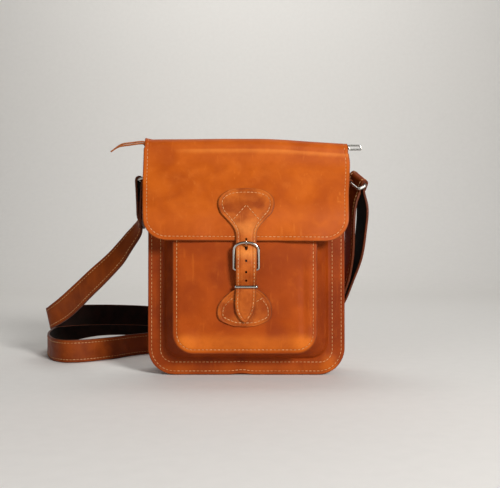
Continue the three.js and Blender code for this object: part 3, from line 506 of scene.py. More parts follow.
def pull_up_leather(name, deep, body, lit, inset=None, roughness=0.5, cloud=38):
    """Vegetable-tanned, waxed pull-up leather: wax moves under bends, so it is mottled light and dark, with a fine
    grain, a rubbed dark rim and a pressed groove under the stitches, the groove darkened as painted shade. A per-point
    amount lightens or darkens it further, for real scuffs and for painted highlights and painted shade. inset is the
    groove's distance from the rim in millimetres, and cloud the size of the mottling in millimetres."""
    material, tree, shader, _ = new_material(name)
    spot = add(tree, "ShaderNodeTexCoord").outputs["Object"]
    clouds = add(tree, "ShaderNodeTexNoise", {"Vector": spot, "Scale": 1000 / cloud, "Detail": 3.0, "Roughness": 0.5,
                                              "Distortion": 0.3}).outputs["Fac"]
    marble = add(tree, "ShaderNodeTexNoise", {"Vector": spot, "Scale": 1000 / 13, "Detail": 5.0, "Roughness": 0.6,
                                              "Distortion": 0.25}).outputs["Fac"]
    speck = add(tree, "ShaderNodeTexNoise", {"Vector": spot, "Scale": 1000 / 1.6, "Detail": 3.0,
                                             "Roughness": 0.7}).outputs["Fac"]
    stretched = add(tree, "ShaderNodeMapping", {"Vector": spot, "Scale": (1.0, 1.0, 0.16),
                                                "Rotation": (0.0, 0.35, 0.0)}).outputs["Vector"]
    streaks = add(tree, "ShaderNodeTexNoise", {"Vector": stretched, "Scale": 1000 / 5, "Detail": 3.0,
                                               "Roughness": 0.5}).outputs["Fac"]
    wear_and_painted_light = add(tree, "ShaderNodeAttribute", attribute_name="wear_and_painted_light").outputs["Fac"]
    uneven = add(tree, "ShaderNodeMath", {0: clouds, 1: 0.5, 2: -0.25}, operation="MULTIPLY_ADD").outputs[0]
    # pull: the wax pull-up mottling plus the per-point amount, so it carries painted highlights and painted shade too
    pull = add(tree, "ShaderNodeMath", {0: wear_and_painted_light, 1: uneven}, operation="ADD").outputs[0]
    colour = blend_colour(tree, between(tree, clouds, 0.25, 0.75), linear(deep), linear(body))
    colour = blend_colour(tree, between(tree, pull, 0.0, 1.0, 0.0, 0.85), colour, linear(lit))
    colour = blend_colour(tree, between(tree, pull, 0.0, -0.9, 0.0, 0.9), colour, linear(deep))
    colour = blend_colour(tree, between(tree, marble, 0.52, 0.78, 0.0, 0.14), colour, linear(lit))
    colour = blend_colour(tree, between(tree, marble, 0.48, 0.28, 0.0, 0.2), colour, linear(deep))
    colour = blend_colour(tree, between(tree, streaks, 0.62, 0.74, 0.0, 0.16), colour, linear(lit))
    colour = blend_colour(tree, between(tree, speck, 0.56, 0.74, 0.0, 0.22), colour, linear(deep))
    edge = add(tree, "ShaderNodeAttribute", attribute_name="cut_edge").outputs["Fac"]
    wobble = add(tree, "ShaderNodeMath", {0: marble, 1: 1.6}, operation="MULTIPLY").outputs[0]
    ragged = add(tree, "ShaderNodeMath", {0: edge, 1: wobble}, operation="SUBTRACT").outputs[0]
    colour = blend_colour(tree, between(tree, ragged, 1.0, -0.5, 0.0, 0.6), colour, linear("#5A2A10"))
    pebble = add(tree, "ShaderNodeTexVoronoi", {"Vector": spot, "Scale": 1000 / 1.3, "Randomness": 1.0},
                 feature="SMOOTH_F1").outputs["Distance"]
    height = add(tree, "ShaderNodeMath", {0: pebble, 1: 0.3}, operation="MULTIPLY").outputs[0]
    height = add(tree, "ShaderNodeMath", {0: speck, 1: 0.35, 2: height}, operation="MULTIPLY_ADD").outputs[0]
    height = add(tree, "ShaderNodeMath", {0: marble, 1: 0.8, 2: height}, operation="MULTIPLY_ADD").outputs[0]
    if inset:
        off = add(tree, "ShaderNodeMath", {0: edge, 1: inset}, operation="SUBTRACT").outputs[0]
        off = add(tree, "ShaderNodeMath", {0: off}, operation="ABSOLUTE").outputs[0]
        groove = between(tree, off, 1.5, 0.2)
        # Painted shade: the stitch groove is darkened in colour as well as sunk
        colour = blend_colour(tree, between(tree, off, 1.4, 0.2, 0.0, 0.3), colour, linear(deep))
        height = add(tree, "ShaderNodeMath", {0: groove, 1: -1.4, 2: height}, operation="MULTIPLY_ADD").outputs[0]
    rough = between(tree, marble, 0.3, 0.7, roughness - 0.06, roughness + 0.1)
    relief = add(tree, "ShaderNodeBump", {"Strength": 0.5, "Distance": 0.00035, "Height": height}).outputs["Normal"]
    for socket, value in (("Base Color", colour), ("Roughness", rough), ("Normal", relief)):
        tree.links.new(value, shader.inputs[socket])
    shader.inputs["IOR"].default_value = 1.45
    shader.inputs["Specular IOR Level"].default_value = 0.16
    return material


def split_suede(name, deep, body):
    """Flesh side of vegetable-tanned leather: split and buffed, so it is matt, fibrous and a little darker."""
    material, tree, shader, _ = new_material(name)
    spot = add(tree, "ShaderNodeTexCoord").outputs["Object"]
    nap = add(tree, "ShaderNodeTexNoise", {"Vector": spot, "Scale": 1000 / 0.9, "Detail": 3.0,
                                           "Roughness": 0.7}).outputs["Fac"]
    patch = add(tree, "ShaderNodeTexNoise", {"Vector": spot, "Scale": 1000 / 14, "Detail": 3.0}).outputs["Fac"]
    colour = blend_colour(tree, between(tree, patch, 0.35, 0.65), linear(deep), linear(body))
    colour = blend_colour(tree, between(tree, nap, 0.45, 0.7, 0.0, 0.5), colour, linear(deep))
    relief = add(tree, "ShaderNodeBump", {"Strength": 0.6, "Distance": 0.0004, "Height": nap}).outputs["Normal"]
    for socket, value in (("Base Color", colour), ("Normal", relief)):
        tree.links.new(value, shader.inputs[socket])
    shader.inputs["Roughness"].default_value = 0.92
    shader.inputs["Specular IOR Level"].default_value = 0.2
    return material


def burnished_edge(name, deep, body):
    """Cut edge of veg-tan leather, rubbed with wax until the fibres lie flat: dark brown with faint layer lines."""
    material, tree, shader, _ = new_material(name)
    spot = add(tree, "ShaderNodeTexCoord").outputs["Object"]
    fibre = add(tree, "ShaderNodeTexNoise", {"Vector": spot, "Scale": 1000 / 1.3, "Detail": 4.0,
                                             "Roughness": 0.65}).outputs["Fac"]
    colour = blend_colour(tree, between(tree, fibre, 0.35, 0.65), linear(deep), linear(body))
    relief = add(tree, "ShaderNodeBump", {"Strength": 0.4, "Distance": 0.0003, "Height": fibre}).outputs["Normal"]
    for socket, value in (("Base Color", colour), ("Normal", relief)):
        tree.links.new(value, shader.inputs[socket])
    shader.inputs["Roughness"].default_value = 0.5
    shader.inputs["Specular IOR Level"].default_value = 0.2
    return material


def waxed_thread(name):
    """Waxed polyester thread of 0.9 mm, twisted from three plies: off-white, with a faint twist and a soft sheen."""
    material, tree, shader, _ = new_material(name)
    spot = add(tree, "ShaderNodeTexCoord").outputs["Object"]
    own = add(tree, "ShaderNodeNewGeometry").outputs["Random Per Island"]
    grime = add(tree, "ShaderNodeTexNoise", {"Vector": spot, "Scale": 1000 / 25, "Detail": 2.0}).outputs["Fac"]
    colour = blend_colour(tree, between(tree, own, 0.0, 1.0), linear("#C0844C"), linear("#DBA972"))
    colour = blend_colour(tree, between(tree, grime, 0.5, 0.75, 0.0, 0.5), colour, linear("#B06A30"))
    plies = add(tree, "ShaderNodeTexNoise", {"Vector": spot, "Scale": 1000 / 0.5, "Detail": 1.0}).outputs["Fac"]
    relief = add(tree, "ShaderNodeBump", {"Strength": 0.4, "Distance": 0.0002, "Height": plies}).outputs["Normal"]
    for socket, value in (("Base Color", colour), ("Normal", relief)):
        tree.links.new(value, shader.inputs[socket])
    shader.inputs["Roughness"].default_value = 0.6
    return material


def nickel_plate(name, tone, roughness):
    """Polished nickel plate on die-cast or wire parts: a slightly warm mirror with fine handling scratches."""
    material, tree, shader, _ = new_material(name)
    spot = add(tree, "ShaderNodeTexCoord").outputs["Object"]
    haze = add(tree, "ShaderNodeTexNoise", {"Vector": spot, "Scale": 1000 / 5, "Detail": 5.0,
                                            "Roughness": 0.7}).outputs["Fac"]
    rubbed = add(tree, "ShaderNodeTexNoise", {"Vector": spot, "Scale": 1000 / 0.7, "Detail": 2.0}).outputs["Fac"]
    colour = blend_colour(tree, between(tree, haze, 0.45, 0.75, 0.0, 0.5), linear(tone), linear("#8E8A84"))
    rough = between(tree, haze, 0.3, 0.75, roughness, roughness + 0.14)
    relief = add(tree, "ShaderNodeBump", {"Strength": 0.12, "Distance": 0.0001, "Height": rubbed}).outputs["Normal"]
    for socket, value in (("Base Color", colour), ("Roughness", rough), ("Normal", relief)):
        tree.links.new(value, shader.inputs[socket])
    shader.inputs["Metallic"].default_value = 1.0
    return material


def woven_tape(name):
    """Polyester zip tape in a herringbone weave with ribs 0.8 mm apart."""
    material, tree, shader, _ = new_material(name)
    spot = add(tree, "ShaderNodeTexCoord").outputs["Object"]
    ribs = add(tree, "ShaderNodeTexWave", {"Vector": spot, "Scale": 1000 / 0.8 / math.tau, "Distortion": 0.6,
                                           "Detail": 1.0}, wave_type="BANDS", bands_direction="DIAGONAL").outputs["Fac"]
    colour = blend_colour(tree, ribs, linear("#1C1512"), linear("#33271F"))
    relief = add(tree, "ShaderNodeBump", {"Strength": 0.5, "Distance": 0.0003, "Height": ribs}).outputs["Normal"]
    for socket, value in (("Base Color", colour), ("Normal", relief)):
        tree.links.new(value, shader.inputs[socket])
    shader.inputs["Roughness"].default_value = 0.9
    return material


EDGE = burnished_edge("burnished_veg_tan_edge", "#431A08", "#6E3010")
SUEDE = split_suede("veg_tan_flesh_side", "#4A2410", "#6A3818")
# Painted shade: the shoulder strap's flesh side is coloured near black for the deep shade on its inner face
SHADED_STRAP_SUEDE = split_suede("strap_flesh_side_painted_shade", "#140A05", "#22100A")
FLAP_LEATHER = pull_up_leather("flap_pull_up_leather", "#A8480A", "#C25C12", "#E08030", inset=5.2)
BODY_LEATHER = pull_up_leather("body_pull_up_leather", "#7C2C04", "#963C06", "#BE5C14", inset=4.6)
POCKET_LEATHER = pull_up_leather("pocket_pull_up_leather", "#8E3604", "#A84606", "#DA7220", inset=5.0)
# Painted shade: the shoulder strap and ring tabs are coloured darker than the body for the light falling off at the
# bag's sides and back
SHADED_STRAP_LEATHER = pull_up_leather("strap_pull_up_leather_painted_shade", "#702C06", "#8A3C0A", "#B05A1A", inset=4.4, cloud=24)
SPOON_LEATHER = pull_up_leather("spoon_pull_up_leather", "#8E3A0A", "#C2621E", "#E88C40", inset=4.8, cloud=20)
LACE_LEATHER = pull_up_leather("lace_leather", "#C4641E", "#D87C34", "#EC9A50", cloud=10)
THREAD = waxed_thread("waxed_polyester_thread")
# Painted reflection: this nickel's tone is set darker to stand for the dark surroundings it mirrors
NICKEL_WITH_PAINTED_DARK_REFLECTION = nickel_plate("polished_nickel_plate_painted_dark_reflection", "#BDBAB4", 0.1)
PULL_NICKEL = nickel_plate("zip_pull_nickel", "#87847F", 0.2)
RING_NICKEL = nickel_plate("rubbed_nickel_plate", "#DEDAD2", 0.32)
TAPE = woven_tape("zip_tape_weave")
TOOTH = nickel_plate("zip_tooth_nickel", "#C8C4BA", 0.28)

stitches = []


def sew(points, out, start=0.5, pitch=PITCH, sink=0.0):
    """Adds a row of stitches along points. out is one direction, or a function of the share along the points."""
    rng = random.Random(round(points[0].x * 1e5) + round(points[0].z * 1e5) + len(points))
    last = len(points) - 1
    for place, spot, along in walk(points, pitch, start):
        away = out(place / last) if callable(out) else out
        away = away.normalized()
        side = away.cross(along).normalized()
        along = (along + side * rng.uniform(-0.07, 0.07)).normalized()
        length = STITCH_LENGTH * rng.uniform(0.93, 1.05)
        stitches.append((spot + away * (0.12 * MM - sink), along, away, length))


def outline_path(half, top, foot, radius, inset, depth, step=2 * MM):
    """Points of a line inside a panel's outline, down one side, along the foot and up the other side."""
    inner, low, turn = half - inset, foot + inset, max(radius - inset, 1 * MM)
    side = [(-inner, mix(top, low + turn, i / 40)) for i in range(41)]
    for i in range(1, 13):
        angle = i / 12 * math.pi / 2
        side.append((-inner + turn * (1 - math.cos(angle)), low + turn * (1 - math.sin(angle))))
    for i in range(1, 21):
        side.append((mix(-inner + turn, 0, i / 20), low))
    full = side + [(-x, z) for x, z in reversed(side[:-1])]
    return [Vector((x, depth(x, z), z)) for x, z in full]


def back_and_flap():
    rows = flap_rows()
    keys = row_lengths(rows)
    first_front = len(rows) - 44

    def place(u, v):
        y, z, half = at_share(keys, rows, v)
        x = u * half
        front = v > keys[first_front]
        if front:
            distance = round_distance(x, z, flap_half(z), FLAP_FOOT, FLAP_RADIUS)
            y -= flap_wave(x, z)
        elif y > BACK - 1e-6:
            distance = round_distance(x, z, max(HALF, half), FOOT, CORNER)
            y += 0.5 * MM * wave(x, z, 60 * MM, 1.7) * ease((z - 20 * MM) / (60 * MM))
        else:
            distance = half - abs(x)
            z += 0.5 * MM * wave(x, y, 40 * MM, 5.2)
        # fold: painted highlight, a lighter band where the top roll of the flap's front turns down; mark is a real
        # scuff
        fold = front * bump((z - 286 * MM) / (7 * MM)) * ease((x + 115 * MM) / (60 * MM))
        mark = front * scratch(x, z)
        aside, lift = flap_drift(x, z) if front else (0.0, 0.0)
        return Vector((x + aside, y, z + lift - top_sag(u, z))), distance, 0.55 * fold + mark

    piece = hide("flap_and_back_leather", 110, 230, place, lambda c: Vector((0, c.y, 1)).normalized(),
                 (FLAP_LEATHER, SUEDE, EDGE))

    def on_flap(x, z):
        return flap_depth(z) - flap_wave(x, z)

    def sagging(points):
        for p in points:
            p.z -= top_sag(p.x / SHOULDER_HALF, p.z)
        return points

    seam = outline_path(FLAP_HALF, TOP - 14 * MM, FLAP_FOOT, FLAP_RADIUS, FLAP_INSET, on_flap)
    for p in seam:
        p.x += math.copysign(flap_half(p.z) - FLAP_HALF, p.x) * (abs(p.x) > FLAP_HALF - FLAP_RADIUS)
        aside, lift = flap_drift(p.x, p.z)
        p.x += aside
        p.z += lift
    sew(sagging(seam), Vector((0, -1, -0.15)))
    bend = TOP - TOP_RADIUS
    for sign in (-1, 1):
        over = [math.radians(mix(25, 88, i / 10)) for i in range(11)]
        arc = [Vector((sign * (SHOULDER_HALF - FLAP_INSET), FLAP_START + TOP_RADIUS * (1 - math.sin(turn)),
                       bend + TOP_RADIUS * math.cos(turn))) for turn in over]
        for p in arc:
            p.x += flap_drift(p.x, p.z)[0]
        sew(sagging(arc), Vector((0, -0.7, 0.7)))
    back = outline_path(HALF, MOUTH - 20 * MM, FOOT, CORNER, EDGE_INSET,
                        lambda x, z: BACK + 0.5 * MM * wave(x, z, 60 * MM, 1.7) * ease((z - 20 * MM) / (60 * MM)))
    sew(back, Vector((0, 1, 0)))
    return piece


def front_panel():
    def place(u, v):
        z = mix(FOOT, MOUTH, v ** 1.15)
        half = round_half(z, HALF, FOOT, CORNER)
        return Vector((u * half, FRONT, z)), round_distance(u * half, z, HALF, FOOT, CORNER), 0.0

    return hide("front_panel_leather", 40, 90, place, lambda c: Vector((0, -1, 0)), (BODY_LEATHER, SUEDE, EDGE))


# Share of a U-shaped path, from the middle of its foot, at which its corner starts and ends
CORNER_START, CORNER_END = 0.24, 0.38


def u_point(half, top, foot, radius, t):
    sign, t = (-1 if t < 0 else 1), abs(t)
    if t < CORNER_START:
        return sign * (half - radius) * t / CORNER_START, foot
    if t < CORNER_END:
        angle = (t - CORNER_START) / (CORNER_END - CORNER_START) * math.pi / 2
        return sign * (half - radius + radius * math.sin(angle)), foot + radius * (1 - math.cos(angle))
    return sign * half, mix(foot + radius, top, (t - CORNER_END) / (1 - CORNER_END))


def fold_rows(table, step, passes):
    """Evenly spaced rows along a table of (y, half, foot, radius), with its folds rounded."""
    lengths = [0.0]
    for a, b in zip(table, table[1:]):
        lengths.append(lengths[-1] + math.hypot(b[0] - a[0], b[1] - a[1], b[2] - a[2]))
    keys = [length / lengths[-1] for length in lengths]
    count = int(lengths[-1] / step)
    rows = [at_share(keys, table, i / count) for i in range(count + 1)]
    for _ in range(passes):
        rows = [rows[0]] + [tuple((a + 2 * b + c) / 4 for a, b, c in zip(*rows[i - 1:i + 2]))
                            for i in range(1, count)] + [rows[-1]]
    return rows


def gusset(name, table, top, columns, facing, materials, dent):
    rows = fold_rows(table, 0.9 * MM, 5)
    count = len(rows) - 1

    def place(u, v):
        i = min(int(round(v * count)), count)
        y, half, foot, radius = rows[i]
        x, z = u_point(half, top, foot, radius, u)
        reach = min(i, count - i) * 0.9 * MM
        dx, dy, dz, worn_and_painted_light = dent(x, y, z)
        return Vector((x + dx, y + dy, max(z + dz, 0.0))), min(reach, top - z + 0.5 * MM), worn_and_painted_light

    return hide(name, columns, count, place, facing, materials)


def main_gusset():
    grain = BACK - 2 * LEATHER - GAP
    fold = (HALF - FLANGE, FLANGE + FOOT, CORNER - FLANGE)
    flat = BASE_FLAT / 2
    front = [
        (-grain, HALF, FOOT, CORNER),
        (-grain, *fold),
        (mix(-flat, -grain, 0.55), fold[0] - BOW * 0.6, fold[1] * 0.55, fold[2]),
        (-flat, INNER_WALL, 0.0, fold[2] - BOW),
    ]
    table = front + [(-row[0], *row[1:]) for row in reversed(front)]

    def dent(x, y, z):
        inside = ease((grain - abs(y)) / (12 * MM))
        side = ease((abs(x) - 100 * MM) / (8 * MM)) * ease((z - 30 * MM) / (40 * MM))
        sink = 1.4 * MM * inside * side * (0.5 + wave(y * 1.5, z, 55 * MM, 9.3))
        return -math.copysign(sink, x), 0.0, 0.0, 0.0

    piece = gusset("main_gusset_leather", table, gusset_high.z, 150, lambda c: Vector((0, 0, -1)),
                   (BODY_LEATHER, SUEDE, EDGE), dent)
    for y, out in ((-grain, Vector((0, 1, 0))), (grain, Vector((0, -1, 0)))):
        sew(outline_path(HALF, gusset_high.z - 6 * MM, FOOT, CORNER, EDGE_INSET, lambda x, z: y), out)
    return piece


POCKET_SHIFT = -1.6 * MM


def pocket_lean(z):
    """Under the flap the pocket's mouth leans back, and its wall with it."""
    return POCKET_LEAN * ease((z - FLAP_FOOT) / (POCKET_TOP - FLAP_FOOT))


PUCKER_X = -6 * MM


def pucker(x, z):
    """The foot seam draws up a little where its two ends meet."""
    return 1.6 * MM * bump((x - PUCKER_X) / (16 * MM)) * ease((26 * MM - z) / (18 * MM))


def corner_bulge(x, z):
    """The border's lower right corner, pushed out; the same hill also paints a highlight on it."""
    return bump(math.hypot(x - 106 * MM, z - 16 * MM) / (17 * MM))


def border_wave(x, z):
    """Unevenness of the border's flat flange, towards the viewer."""
    rim = round_distance(x, z, HALF, FOOT, CORNER)
    return 0.5 * MM * wave(x, z, 30 * MM, 4.4) * ease(rim / (8 * MM)) + 1.3 * MM * corner_bulge(x, z)


def pocket_gusset():
    front = POCKET_FACE + 2 * LEATHER + 0.6 * MM
    rear = FRONT - GAP - LEATHER
    first, last = POCKET_HALF - POCKET_FLANGE, HALF - BORDER
    table = [(front, POCKET_HALF, POCKET_FOOT, POCKET_RADIUS)]
    for back, splay in ((0, 0), (0.2, 0.14), (0.5, 0.5), (0.8, 0.88), (1, 1)):
        table.append((mix(front, rear, back), mix(first, last, splay),
                      mix(POCKET_FOOT + POCKET_FLANGE, FOOT + BORDER, splay),
                      mix(POCKET_RADIUS - POCKET_FLANGE, CORNER - BORDER * 0.6, splay)))
    table.append((rear, HALF, FOOT, CORNER))

    def dent(x, y, z):
        flat = ease((y - (rear - 1.5 * MM)) / (1.5 * MM))
        middle = bump((y - (front + rear) / 2) / (14 * MM))
        side = ease((abs(x) - 60 * MM) / (15 * MM))
        fold = middle * (1.2 * MM * wave(x * 2, z, 26 * MM, 2.9))
        lift = pucker(x, z) * flat
        lean = pocket_lean(z) * (rear - y) / (rear - front)
        forward = -flat * (border_wave(x, z) + 0.2 * MM)
        # Painted highlight on the border's pushed-out lower right corner, and the border a little lighter towards its
        # foot
        worn_and_painted_light = flat * (0.8 * corner_bulge(x, z) + 0.35 * ease((18 * MM - z) / (10 * MM)))
        aside = POCKET_SHIFT * (rear - y) / (rear - front) - math.copysign(fold * side, x)
        return aside, forward + lean, lift + fold * (1 - side), worn_and_painted_light

    piece = gusset("pocket_gusset_leather", table, wall_high.z, 150, lambda c: Vector((0, -0.2, -1)),
                   (BODY_LEATHER, SUEDE, EDGE), dent)

    def on_border(x, z):
        return rear - border_wave(x, z) - 0.2 * MM

    for inset, corner in ((EDGE_INSET, CORNER), (BORDER_INSET, BORDER_INSET + 16 * MM)):
        seam = outline_path(HALF, wall_high.z - 3 * MM, FOOT, corner, inset, on_border)
        for p in seam:
            p.z += pucker(p.x, p.z)
        sew(seam, Vector((0, -1, 0)))
    return piece


def pocket_swell(x, z):
    """How far the pocket's front stands proud: puffed corners, drawn-in rim, a crease and shallow dents."""
    rim = round_distance(x, z, POCKET_HALF, POCKET_FOOT, POCKET_RADIUS)
    inner = ease(rim / (9 * MM))
    corner_x = (abs(x) - (POCKET_HALF - 16 * MM)) / (22 * MM)
    corner_z = (z - (POCKET_FOOT + 15 * MM)) / (22 * MM)
    puff = 1.7 * MM * bump(math.hypot(corner_x, corner_z))
    crease = -1.1 * MM * bump((x - 72 * MM) / (7 * MM)) * bump((z - 92 * MM) / (70 * MM))
    dent = -0.9 * MM * bump(math.hypot((x - 44 * MM) / (26 * MM), (z - 62 * MM) / (16 * MM)))
    calm = ease((math.hypot(x, z - 90 * MM) - 34 * MM) / (20 * MM)) * ease((160 * MM - z) / (30 * MM))
    slow = 0.8 * MM * wave(x, z, 42 * MM, 6.1) * calm
    return -1.1 * MM * (1 - inner) + (puff + crease + dent + slow) * calm


def pocket_depth(x, z):
    return POCKET_FACE + pocket_lean(z) - pocket_swell(x, z)


def pocket_panel():
    def place(u, v):
        z = mix(POCKET_FOOT, POCKET_TOP, v ** 1.25)
        half = round_half(z, POCKET_HALF, POCKET_FOOT, POCKET_RADIUS)
        x = u * half
        rim = round_distance(x, z, POCKET_HALF, POCKET_FOOT, POCKET_RADIUS)
        # low: the pocket's front lighter towards its foot; corner: painted highlights near both lower corners
        low = ease((62 * MM - z) / (16 * MM)) * ease(rim / (5 * MM))
        corner = bump(math.hypot(abs(x) - 72 * MM, z - 44 * MM) / (16 * MM))
        return Vector((x + POCKET_SHIFT, pocket_depth(x, z), z)), rim, 0.5 * low + 0.45 * corner

    piece = hide("pocket_front_leather", 110, 120, place, lambda c: Vector((0, -1, 0)), (POCKET_LEATHER, SUEDE, EDGE))
    seam = outline_path(POCKET_HALF, POCKET_TOP - 4 * MM, POCKET_FOOT, POCKET_RADIUS, POCKET_INSET, pocket_depth)
    sew([p + Vector((POCKET_SHIFT, 0, 0)) for p in seam], Vector((0, -1, 0)))
    return piece


# Closing strap and buckle

SPOON = ((0, 0.02), (0.004, 0.2), (0.01, 0.35), (0.032, 0.576), (0.094, 0.802), (0.18, 0.946), (0.305, 1),
         (0.412, 0.951), (0.485, 0.891), (0.594, 0.7), (0.717, 0.5), (0.794, 0.41), (0.88, 0.366), (1, 0.358))
TIP = ((0, 0.06), (0.08, 0.3), (0.3, 0.62), (0.6, 0.88), (1, 1))
CHAPE = ((0, 0.02), (0.006, 0.25), (0.017, 0.4), (0.085, 0.69), (0.154, 0.9), (0.26, 0.99), (0.385, 1),
         (0.535, 0.952), (0.69, 0.79), (0.817, 0.585), (0.87, 0.44), (0.9, 0.376), (1, 0.372))
BEHIND_PIN = PIN_Y - BAR - GAP - 2 * PRONG - GAP
AT_KEEPER = POCKET_FACE - GAP - KEEPER_BAND - GAP - LEATHER - GAP - 0.6 * MM
REST = POCKET_FACE - GAP - LEATHER - GAP - 0.4 * MM
ROUTE = (
    (TIP_FOOT, REST), (TIP_FOOT + 20 * MM, REST - 0.6 * MM), (KEEPER_Z - 8 * MM, AT_KEEPER + 0.4 * MM),
    (KEEPER_Z, AT_KEEPER), (KEEPER_Z + 8 * MM, mix(AT_KEEPER, BEHIND_PIN, 0.55)), (PIN_Z - 3 * MM, BEHIND_PIN),
    (PIN_Z + 6 * MM, BEHIND_PIN - 0.2 * MM), (mix(PIN_Z, TOP_BAR_Z, 0.6), mix(BEHIND_PIN, FLAP_FACE, 0.35)),
    (TOP_BAR_Z - 4 * MM, FLAP_FACE - GAP - 1.4 * MM), (FLAP_FOOT + 2 * MM, FLAP_FACE - GAP - 0.4 * MM),
    (FLAP_FOOT + 12 * MM, flap_depth(FLAP_FOOT + 12 * MM) - GAP),
)
PRONG_HOLE = TOP_BAR_Z - 6 * MM
HOLES = (FLAP_FOOT + 2 * MM, PIN_Z + 10.6 * MM, PIN_Z - 3 * MM, PIN_Z - 13.5 * MM)


def strap_back(z):
    return flap_depth(z) - GAP if z > FLAP_FOOT + 12 * MM else smooth(ROUTE, z)


def strap_front(z):
    return strap_back(z) - CLOSURE_THICK


def closure_half(z):
    if z > SPOON_TOP - SPOON_LENGTH:
        return SPOON_HALF * smooth(SPOON, (SPOON_TOP - z) / SPOON_LENGTH)
    if z > TIP_FOOT + TIP_LENGTH:
        return CLOSURE_HALF
    return CLOSURE_HALF * smooth(TIP, (z - TIP_FOOT) / TIP_LENGTH)


def inset_side(half_at, inset_at, low, high):
    """One side (x, z) of a line inside a symmetric outline, from the middle of its top to its foot."""
    rim = [Vector((half_at(mix(high, low, i / 600)), mix(high, low, i / 600))) for i in range(601)]
    line = []
    for a, b in zip(rim, rim[1:]):
        along = (b - a).normalized()
        middle = (a + b) / 2
        inset = inset_at(middle.y)
        spot = middle + Vector((-abs(along.y), math.copysign(along.x, -along.x) if along.x > 0 else -along.x)) * inset
        spot = middle - Vector((-along.y, along.x)) * inset if along.y < 0 else middle
        spot.x = middle.x + along.y * inset
        spot.y = middle.y - along.x * inset
        if spot.x > 0 and min((spot - r).length for r in rim[::5]) > inset * 0.95:
            line.append(spot)
    return [Vector((0, line[0].y))] + line


def closure_share(v):
    """Rows of the closing strap, set closer towards both its ends."""
    return 0.5 + 0.5 * math.copysign(1 - (1 - abs(2 * v - 1)) ** 1.35, v - 0.5)


def closure_drift(z):
    """The free end hangs a little to the left."""
    return -1.6 * MM * ease((KEEPER_Z + 10 * MM - z) / (50 * MM))


def closure_strap():
    def place(u, v):
        z = mix(TIP_FOOT, SPOON_TOP, closure_share(v))
        half = closure_half(z)
        x = u * half
        distance = half - abs(x)
        if z > FLAP_FOOT + 4 * MM:
            distance = min(distance, (SPOON_TOP - z) * 0.8 + (half - abs(x)) * 0.4)
        crown = 0.35 * MM * (1 - (x / half) ** 2) if half > 3 * MM else 0.0
        # dark: darker patches on the spoon and darker towards the tip, with painted shade where the strap slopes back
        # down to the keeper. light: lighter at the spoon's neck, with a painted highlight where the strap faces upward
        # below the buckle's top bar.
        dark = bump(math.hypot((x + 8 * MM) / (24 * MM), (z - 212 * MM) / (12 * MM)))
        dark += bump(math.hypot((x - 16 * MM) / (12 * MM), (z - 215 * MM) / (10 * MM)))
        dark += 0.9 * bump((z - 124 * MM) / (12 * MM)) + 0.3 * ease((105 * MM - z) / (20 * MM))
        light = bump((z - 186 * MM) / (16 * MM)) + 1.3 * bump((z - 155 * MM) / (13 * MM))
        return Vector((x + closure_drift(z), strap_front(z) - crown, z)), distance, 0.55 * light - 0.42 * dark

    piece = hide("closing_strap_leather", 36, 220, place, lambda c: Vector((0, -1, 0)),
                 (SPOON_LEATHER, SUEDE, EDGE), thickness=CLOSURE_THICK)
    for z in HOLES:
        punch(piece, z, 1.4 * MM, 1.0)
    punch(piece, PRONG_HOLE, 2 * MM, 1.7)
    bpy.ops.object.shade_smooth_by_angle(angle=math.radians(50))
    def inset_at(z):
        return mix(STRAP_ROW_INSET, SPOON_INSET, ease((z - SPOON_TOP + SPOON_LENGTH) / (40 * MM)))

    side = inset_side(closure_half, inset_at, TIP_FOOT + 3 * MM, SPOON_TOP)
    right = [Vector((p.x + closure_drift(p.y), strap_front(p.y) - 0.25 * MM, p.y)) for p in side]
    left = [Vector((-p.x + closure_drift(p.y), strap_front(p.y) - 0.25 * MM, p.y)) for p in side]
    sew(list(reversed(left)) + right, Vector((0, -1, 0)), pitch=SPOON_PITCH)
    apex = SPOON_TOP - 22.3 * MM
    for sign in (-1, 1):
        leg = [Vector((sign * mix(0.1, 16.0, i / 10) * MM, 0, apex - mix(-0.6, 17.4, i / 10) * MM)) for i in range(11)]
        for p in leg:
            p.y = strap_front(p.z) - 0.45 * MM
        sew(leg, Vector((0, -1, 0)), pitch=SPOON_PITCH)
    return piece


def punch(piece, z, radius, tall):
    bpy.ops.object.select_all(action="DESELECT")
    bpy.ops.mesh.primitive_cylinder_add(vertices=20, radius=radius, depth=24 * MM, location=(0, strap_back(z), z),
                                        rotation=(math.pi / 2, 0, 0), scale=(1, tall, 1))
    drill = bpy.context.object
    drill.data.materials.append(EDGE)
    cut = piece.modifiers.new("hole", "BOOLEAN")
    cut.operation = "DIFFERENCE"
    cut.object = drill
    cut.solver = "EXACT"
    apply_modifiers(piece)
    bpy.data.objects.remove(drill)


def chape_drift(z):
    """The lower spoon is sewn on a little left of the middle."""
    return -2 * MM * ease((KEEPER_Z - 2 * MM - z) / (30 * MM))


